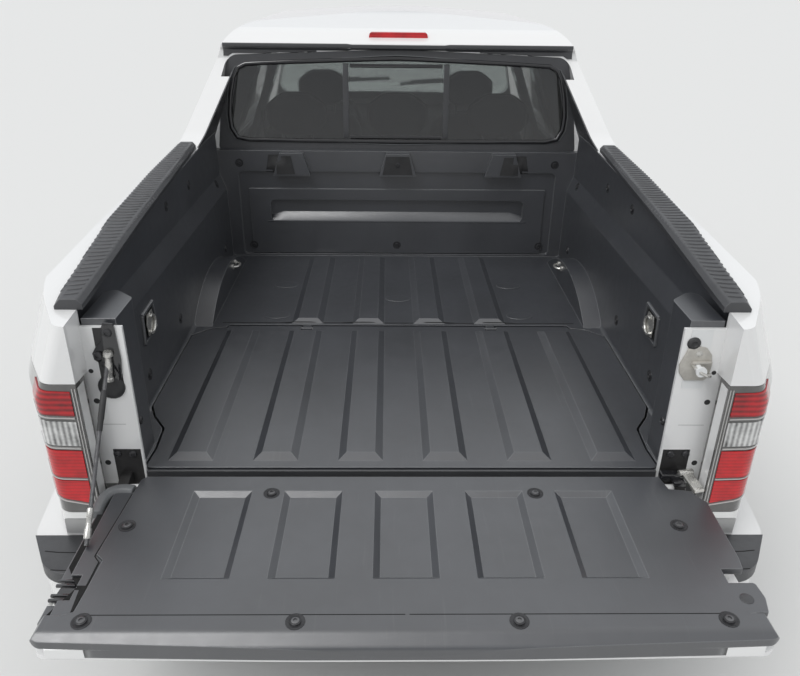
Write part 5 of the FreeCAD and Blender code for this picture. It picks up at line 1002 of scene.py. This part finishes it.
def dress_rear_window():
    form = Form()
    for low, high in ((-217, -195), (179, 201)):
        laid(form, "rear_window", [[inside(x, z) for x in spread(low, high, 4)] for z in spread(482, 760, 10)],
             AHEAD, 0.004)
    made(form, "window_mullions", "trim_black", bevel=0.0012)

    form = Form()
    for spans in (EDGE_SPANS, BELOW_SPANS):
        columns = []
        for column in [trim_column(x, spans) for x in spread(-676, 676, 80)] + [None]:
            if column:
                columns.append(column)
            else:
                if len(columns) > 1:
                    patch(form, columns, 0.0025)
                columns = []
    made(form, "roof_edge_trim", "trim_black", bevel=0.0008)

    # Black gasket round the glass, which also paints the shade under the roof's lip, and a paler line where it meets
    # the frame, a painted highlight
    outline = GLASS_OUTLINE + tuple((-x, z) for x, z in reversed(GLASS_OUTLINE[1:-1]))
    for name, finish, grow, width, height in (("window_gasket", "gloss_black", 4, 0.016, 0.006),
                                              ("window_gasket_highlight_line", "boot", 15, 0.0036, 0.0030)):
        form = Form()
        found = []
        for (x, z), (x1, z1) in zip(outline, outline[1:] + outline[:1]):
            for t in (0.0, 0.34, 0.67):
                here = Vector((x + (x1 - x) * t, 0, z + (z1 - z) * t - GLASS_MIDDLE_Z))
                here += here.normalized() * grow
                place = met("rear_window_frame", inside(here.x, here.z + GLASS_MIDDLE_Z), AHEAD)
                if place:
                    found.append(place)
        found.append(found[0])
        form.bead(found, width, height)
        made(form, name, finish, angle=60.0)

    rails = [[inside(x, z) for x in spread(-190, 174, 20)] for z in (486, 752)]
    lined("window_slider_rails", "gloss_black", "rear_window", rails, AHEAD, 0.014, 0.0025)


# ---- Cab: padded seats, belts and what stands round them

def pillow(name, size, place, lean, crown=0.55, bolster=0.0, channels=(), cross=(), across=44, along=40,
           curve=0.1, replaced=()):
    """A stuffed form with a seam round its edge: size wide, long and thick, placed by the middle of its base.

    It lies in x and y, leaned about x by lean degrees. channels and cross are sewn lines at shares of its half size.
    """
    wide, deep, thick = size
    tilt = Matrix.Rotation(math.radians(lean), 3, "X")
    base = Vector(place)

    def drawn_in(u, v):
        """Shares by which the width and length pull in at a place."""
        return ((1.0 - 0.035 * (1.0 - v * v)) * math.sqrt(1.0 - curve * 2.0 * v ** 4),
                (1.0 - 0.03 * (1.0 - u * u)) * math.sqrt(1.0 - curve * 2.0 * u ** 4))

    def point(u, v, face):
        edge = max(0.0, (1.0 - abs(u) ** 7) * (1.0 - abs(v) ** 7)) ** 0.42
        dome = 1.0 + crown * 0.35 * (1.0 - u * u) * (1.0 - v * v)
        rise = thick * 0.5 * edge * dome
        if face > 0:
            if bolster:
                rise += edge * bolster * math.exp(-((abs(u) - 0.80) / 0.17) ** 2)
            for at in channels:
                rise -= edge * 0.010 * math.exp(-((u - at) / 0.028) ** 2)
            for at in cross:
                rise -= edge * 0.008 * math.exp(-((v - at) / 0.030) ** 2) * (1.0 if abs(u) < 0.62 else 0.0)
            rise += 0.0016 * math.sin(17.0 * u + 5.0 * v) * math.sin(13.0 * v - 4.0 * u) * edge
        pull, back = drawn_in(u, v)
        return base + tilt @ Vector((u * wide / 2 * pull, v * deep / 2 * back, thick * 0.5 + face * rise))

    grid_u = [math.sin(a) for a in spread(-math.pi / 2, math.pi / 2, across + 1)]
    grid_v = [math.sin(a) for a in spread(-math.pi / 2, math.pi / 2, along + 1)]
    form = Form()
    for face in (1.0, -1.0):
        faces = []
        for i in range(along):
            for j in range(across):
                a = i * (across + 1) + j
                faces.append((a, a + 1, a + across + 2, a + across + 1))
        form.add([point(u, v, face) for v in grid_v for u in grid_u], faces)
    work = gathered(form.points, form.faces)
    bmesh.ops.remove_doubles(work, verts=work.verts, dist=0.0003)
    bmesh.ops.dissolve_degenerate(work, edges=work.edges, dist=0.00005)
    bmesh.ops.recalc_face_normals(work, faces=work.faces)
    piece = finished(work, name, "seat_cloth", "root")
    if replaced:
        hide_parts(*replaced)

    # Piping sewn round the edge
    rim = []
    for t in spread(0.0, 2 * math.pi, 97)[:-1]:
        c, s = math.cos(t), math.sin(t)
        reach = min(1.0 / max(abs(c), abs(s)), (abs(c) ** 7 + abs(s) ** 7) ** (-1.0 / 7.0))
        u, v = c * reach, s * reach
        pull, back = drawn_in(u, v)
        rim.append(base + tilt @ Vector((u * wide / 2 * pull, v * deep / 2 * back, thick * 0.5)))
    piping = Form()
    piping.tube(rim + rim[:1], 0.0035, 6)
    made(piping, name + "_piping", "belt")


SEAT_GAP = 0.06
CUSHION_Z, BACK_Z, HEADREST_Z = 0.572, 0.955, 1.388


def seat(label, x, y, wide, replaced):
    """One place: cushion, back and headrest, from the line of its cushion's rear edge at y."""
    width = wide - SEAT_GAP
    at = bed(x, y, 0)
    pillow("cushion_" + label, (width, 0.51, 0.135), (at.x, at.y + 0.255, CUSHION_Z), lean=3.0, bolster=0.018,
           channels=(-0.58, 0.58), cross=(-0.35, 0.25), replaced=replaced)
    pillow("back_" + label, (width * 0.98, 0.66, 0.125), (at.x, at.y + 0.015, BACK_Z), lean=99.0, bolster=0.022,
           channels=(-0.58, 0.58), cross=(-0.45, 0.1), curve=0.16)
    pillow("headrest_" + label, (0.255, 0.18, 0.095), (at.x, at.y - 0.065, HEADREST_Z), lean=97.0, crown=0.9,
           across=30, along=26, curve=0.30)


# Each place: middle x and rear edge y, width, whether it slides on rails, and the solids it stands for
PLACES = (("front_left", -380, 2700, 0.50, True, ("front_seats",)), ("front_right", 380, 2700, 0.50, True, ()),
          ("rear_left", -420, 1860, 0.47, False, ("rear_seat",)), ("rear_middle", 0, 1860, 0.45, False, ()),
          ("rear_right", 420, 1860, 0.47, False, ()))
CAB_FLOOR_Z = 0.423


def dress_cab():
    stands, posts = Form(), Form()
    for label, x, y, wide, slides, replaced in PLACES:
        seat(label, x, y, wide, replaced)
        at = bed(x, y, 0)
        for side in (-0.06, 0.06):
            posts.tube([Vector((at.x + side, at.y - 0.118, z)) for z in spread(1.24, 1.345, 6)], 0.006, 10)
        stands.block((at.x - 0.17, at.x + 0.17), (at.y + 0.05, at.y + 0.42), CAB_FLOOR_Z, 0.162)
        for side in (-1, 1) if slides else ():
            rail = at.x + side * 0.19
            stands.block((rail - 0.018, rail + 0.018), (at.y - 0.03, at.y + 0.50), CAB_FLOOR_Z, 0.03)
    made(posts, "headrest_posts", "steel")
    made(stands, "seat_stands", "interior", bevel=0.010)

    # Belts hanging from the pillars, their guides and buckles, and the console
    belts, guides, buckles, console = Form(), Form(), Form(), Form()
    for x, y in ((-700, 2600), (700, 2600), (-690, 1700), (690, 1700)):
        side = 1 if x > 0 else -1
        depth = Vector((side * 0.0016, 0, 0))
        edges = Vector((0, -0.023, 0)), Vector((0, 0.023, 0))
        route = [bed(x - side * 8 * math.sin(3.0 * t), y + 12 * t, 400 - 640 * t) for t in spread(0.0, 1.0, 14)]
        belts.skin([[p + edges[0], p + edges[1], p + (depth + edges[1]), p + (depth + edges[0])] for p in route])
        guides.lathe(bed(x + side * 2, y, 404), RIGHT, BELT_GUIDE, 20)
    made(belts, "seat_belts", "belt")
    made(guides, "belt_guides", "interior", angle=50.0)
    at = bed(0, 2720, 0)
    console.block((at.x - 0.10, at.x + 0.10), (at.y - 0.02, at.y + 0.46), 0.43, 0.30)
    made(console, "centre_console", "interior", bevel=0.022)
    for x, y in ((-170, 2745), (170, 2745), (-200, 1890), (200, 1890)):
        place = bed(x, y, 0)
        buckles.block((place.x - 0.012, place.x + 0.012), (place.y - 0.008, place.y + 0.008), 0.62, 0.12)
    made(buckles, "belt_buckles", "gloss_black", bevel=0.004)


# ---- Wheels

WHEELS = (("front_left", -852.0, 4165), ("front_right", 852.0, 4165), ("rear_left", -849.5, 1066),
          ("rear_right", 849.5, 1066))
# Rows of tread blocks: offset across the tyre, half width, and shift round it in blocks
TREAD_ROWS = ((-0.086, 0.017, 0.0), (-0.046, 0.016, 0.5), (-0.002, 0.018, 0.0), (0.042, 0.016, 0.5),
              (0.084, 0.017, 0.0))
TREAD_BLOCKS = 64


def round_hub(hub, across, radius, a):
    """A place at an angle round the hub's axle, at x across."""
    return Vector((across, hub.y + radius * math.sin(a), hub.z + radius * math.cos(a)))


def tread(hub):
    blocks = Form()
    reach = 0.36 * 2 * math.pi / TREAD_BLOCKS
    skew = 0.20 * 2 * math.pi / TREAD_BLOCKS
    for offset, half, shift in TREAD_ROWS:
        for i in range(TREAD_BLOCKS):
            middle = 2 * math.pi * (i + shift) / TREAD_BLOCKS
            low, top = [], []
            for du, dv in ((-1, -1), (1, -1), (1, 1), (-1, 1)):
                a = middle + dv * reach + du * skew
                across = hub.x + offset + du * half
                drop = 0.0035 if abs(offset + du * half) > 0.095 else 0.0
                for radius, into in ((0.3715 - drop, low), (0.3772 - drop, top)):
                    into.append(round_hub(hub, across, radius, a))
            blocks.skin([low, top])
    return blocks


def dress_wheels():
    for name, x, y in WHEELS:
        side = 1 if x > 0 else -1
        out = (side, 0, 0)
        hub = bed(x, y, -461)
        made(tread(hub), "tread_" + name, "tyre", "wheel_" + name)
        rings = Form()
        for radius, height in ((0.246, 0.112), (0.305, 0.1215)):
            rings.tube([round_hub(hub, hub.x + side * height, radius, a) for a in spread(0.0, 2 * math.pi, 73)],
                       0.0022, 6)
        made(rings, "sidewall_" + name, "tyre", "wheel_" + name)
        nuts = Form()
        for i in range(5):
            a = math.radians(72.0 * i + 36.0)
            nuts.lathe((hub.x + side * 0.052, hub.y + 0.057 * math.cos(a), hub.z + 0.057 * math.sin(a)), out, NUT, 6)
        nuts.lathe((hub.x + side * 0.080, hub.y, hub.z), out, HUB_CAP, 28)
        valve = math.radians(10.0)
        nuts.lathe((hub.x + side * 0.068, hub.y + 0.196 * math.cos(valve), hub.z + 0.196 * math.sin(valve)), out,
                   VALVE, 8)
        made(nuts, "wheel_nuts_" + name, "chrome", "wheel_" + name)


# ---- Outside of the cab

SIDES = ((-1, "left"), (1, "right"))


def dress_front():
    """Mirror glass, wipers parked along the screen's foot, headlamp inserts, and a blank plate."""
    for side, name in SIDES:
        form = Form()
        rows = [[bed(side * x, 3180, z) for x in spread(945, 1080, 12)] for z in spread(308, 432, 9)]
        patch(form, met_rows("mirror_" + name, rows, AHEAD), 0.0015)
        made(form, "mirror_glass_" + name, "mirror_glass", "door_front_" + name, angle=60.0)

    arms, blades = Form(), Form()
    for x0, x1 in ((-560, -30), (40, 600)):
        starts = [bed(x0 + (x1 - x0) * t, 4200, 440 + 70 * t * (1.0 - 0.4 * t)) for t in spread(0.0, 1.0, 18)]
        found = [place for place in (met("windshield", start, BACK) for start in starts) if place]
        lifted = [(p + n * 0.006, n) for p, n in found]
        blades.bead(lifted, 0.014, 0.012, sink=0.005)
        arms.tube([p + n * 0.018 for p, n in lifted[2:12]], 0.005, 8)
    made(blades, "wiper_blades", "rubber")
    made(arms, "wiper_arms", "trim_black")

    domes, rings, corners = Form(), Form(), Form()
    for x, z, radius in ((560, 128, 0.050), (690, 130, 0.046)):
        place, normal = hit("headlamps", bed(x, 5400, z), BACK)
        domes.lathe(place, normal, [(radius, -0.002), (radius * 0.86, 0.0030), (radius * 0.5, 0.0065), (0.0, 0.008)],
                    28)
        rings.lathe(place, normal, [(radius * 1.22, -0.001), (radius * 1.20, 0.0035), (radius * 1.04, 0.0040),
                                    (radius * 1.0, 0.0005)], 32)
    made(domes, "lamp_projectors", "clear_dome", mirror=True, angle=70.0)
    made(rings, "lamp_rings", "chrome", mirror=True, angle=60.0)
    rows = [[bed(1300, y, z) for y in spread(4800, 4860, 6)] for z in spread(80, 170, 6)]
    patch(corners, met_rows("headlamps", rows, LEFT), 0.0015)
    made(corners, "lamp_markers", "amber", mirror=True, angle=60.0)

    plate = Form()
    rows = [[bed(x, 5500, z) for x in spread(-150, 150, 9)] for z in spread(-250, -110, 5)]
    rows = met_rows("front_bumper", rows, BACK)
    front = max(p.y for row in rows for p, _ in row) + 0.002
    patch(plate, [[(Vector((p.x, front, p.z)), Vector(AHEAD)) for p, _ in row] for row in rows], 0.004)
    made(plate, "front_plate_blank", "plate_white", bevel=0.001)


def dress_sides():
    """The fuel door's shut line, and weather strips under the side windows' glass."""
    corners = []
    for y, z, start in ((1505, 235, 0.0), (1415, 235, 90.0), (1415, 150, 180.0), (1505, 150, 270.0)):
        for a in spread(start, start + 90.0, 6):
            corners.append((y + 18 * math.cos(math.radians(a)), z + 18 * math.sin(math.radians(a))))
    corners.append(corners[0])
    dense = []
    for a, b in zip(corners, corners[1:]):
        steps = max(2, int(math.dist(a, b) / 12.0))
        dense += [(a[0] + (b[0] - a[0]) * i / steps, a[1] + (b[1] - a[1]) * i / steps) for i in range(steps)]
    outline = [bed(-1300, y, z) for y, z in dense + dense[:1]]
    lined("fuel_door_line", "shadow", "bed_sides", [outline], RIGHT, 0.0030, 0.0004)

    for row, low, high in (("front", 2668, 3380), ("rear", 1765, 2540)):
        for side, name in SIDES:
            door = "door_%s_%s" % (row, name)
            starts = [bed(side * 1300, y, 333) - Vector((0, 0, 0.018)) for y in spread(low, high, 30)]
            lined("belt_strip_%s_%s" % (row, name), "rubber", door, [starts], (-side, 0, 0), 0.016, 0.004, body=door)


look()
studio()
dress_frame()
dress_gate()
dress_bed()
dress_lamps()
dress_jambs()
dress_step_pads()
dress_rear_window()
dress_cab()
dress_wheels()
dress_front()
dress_sides()
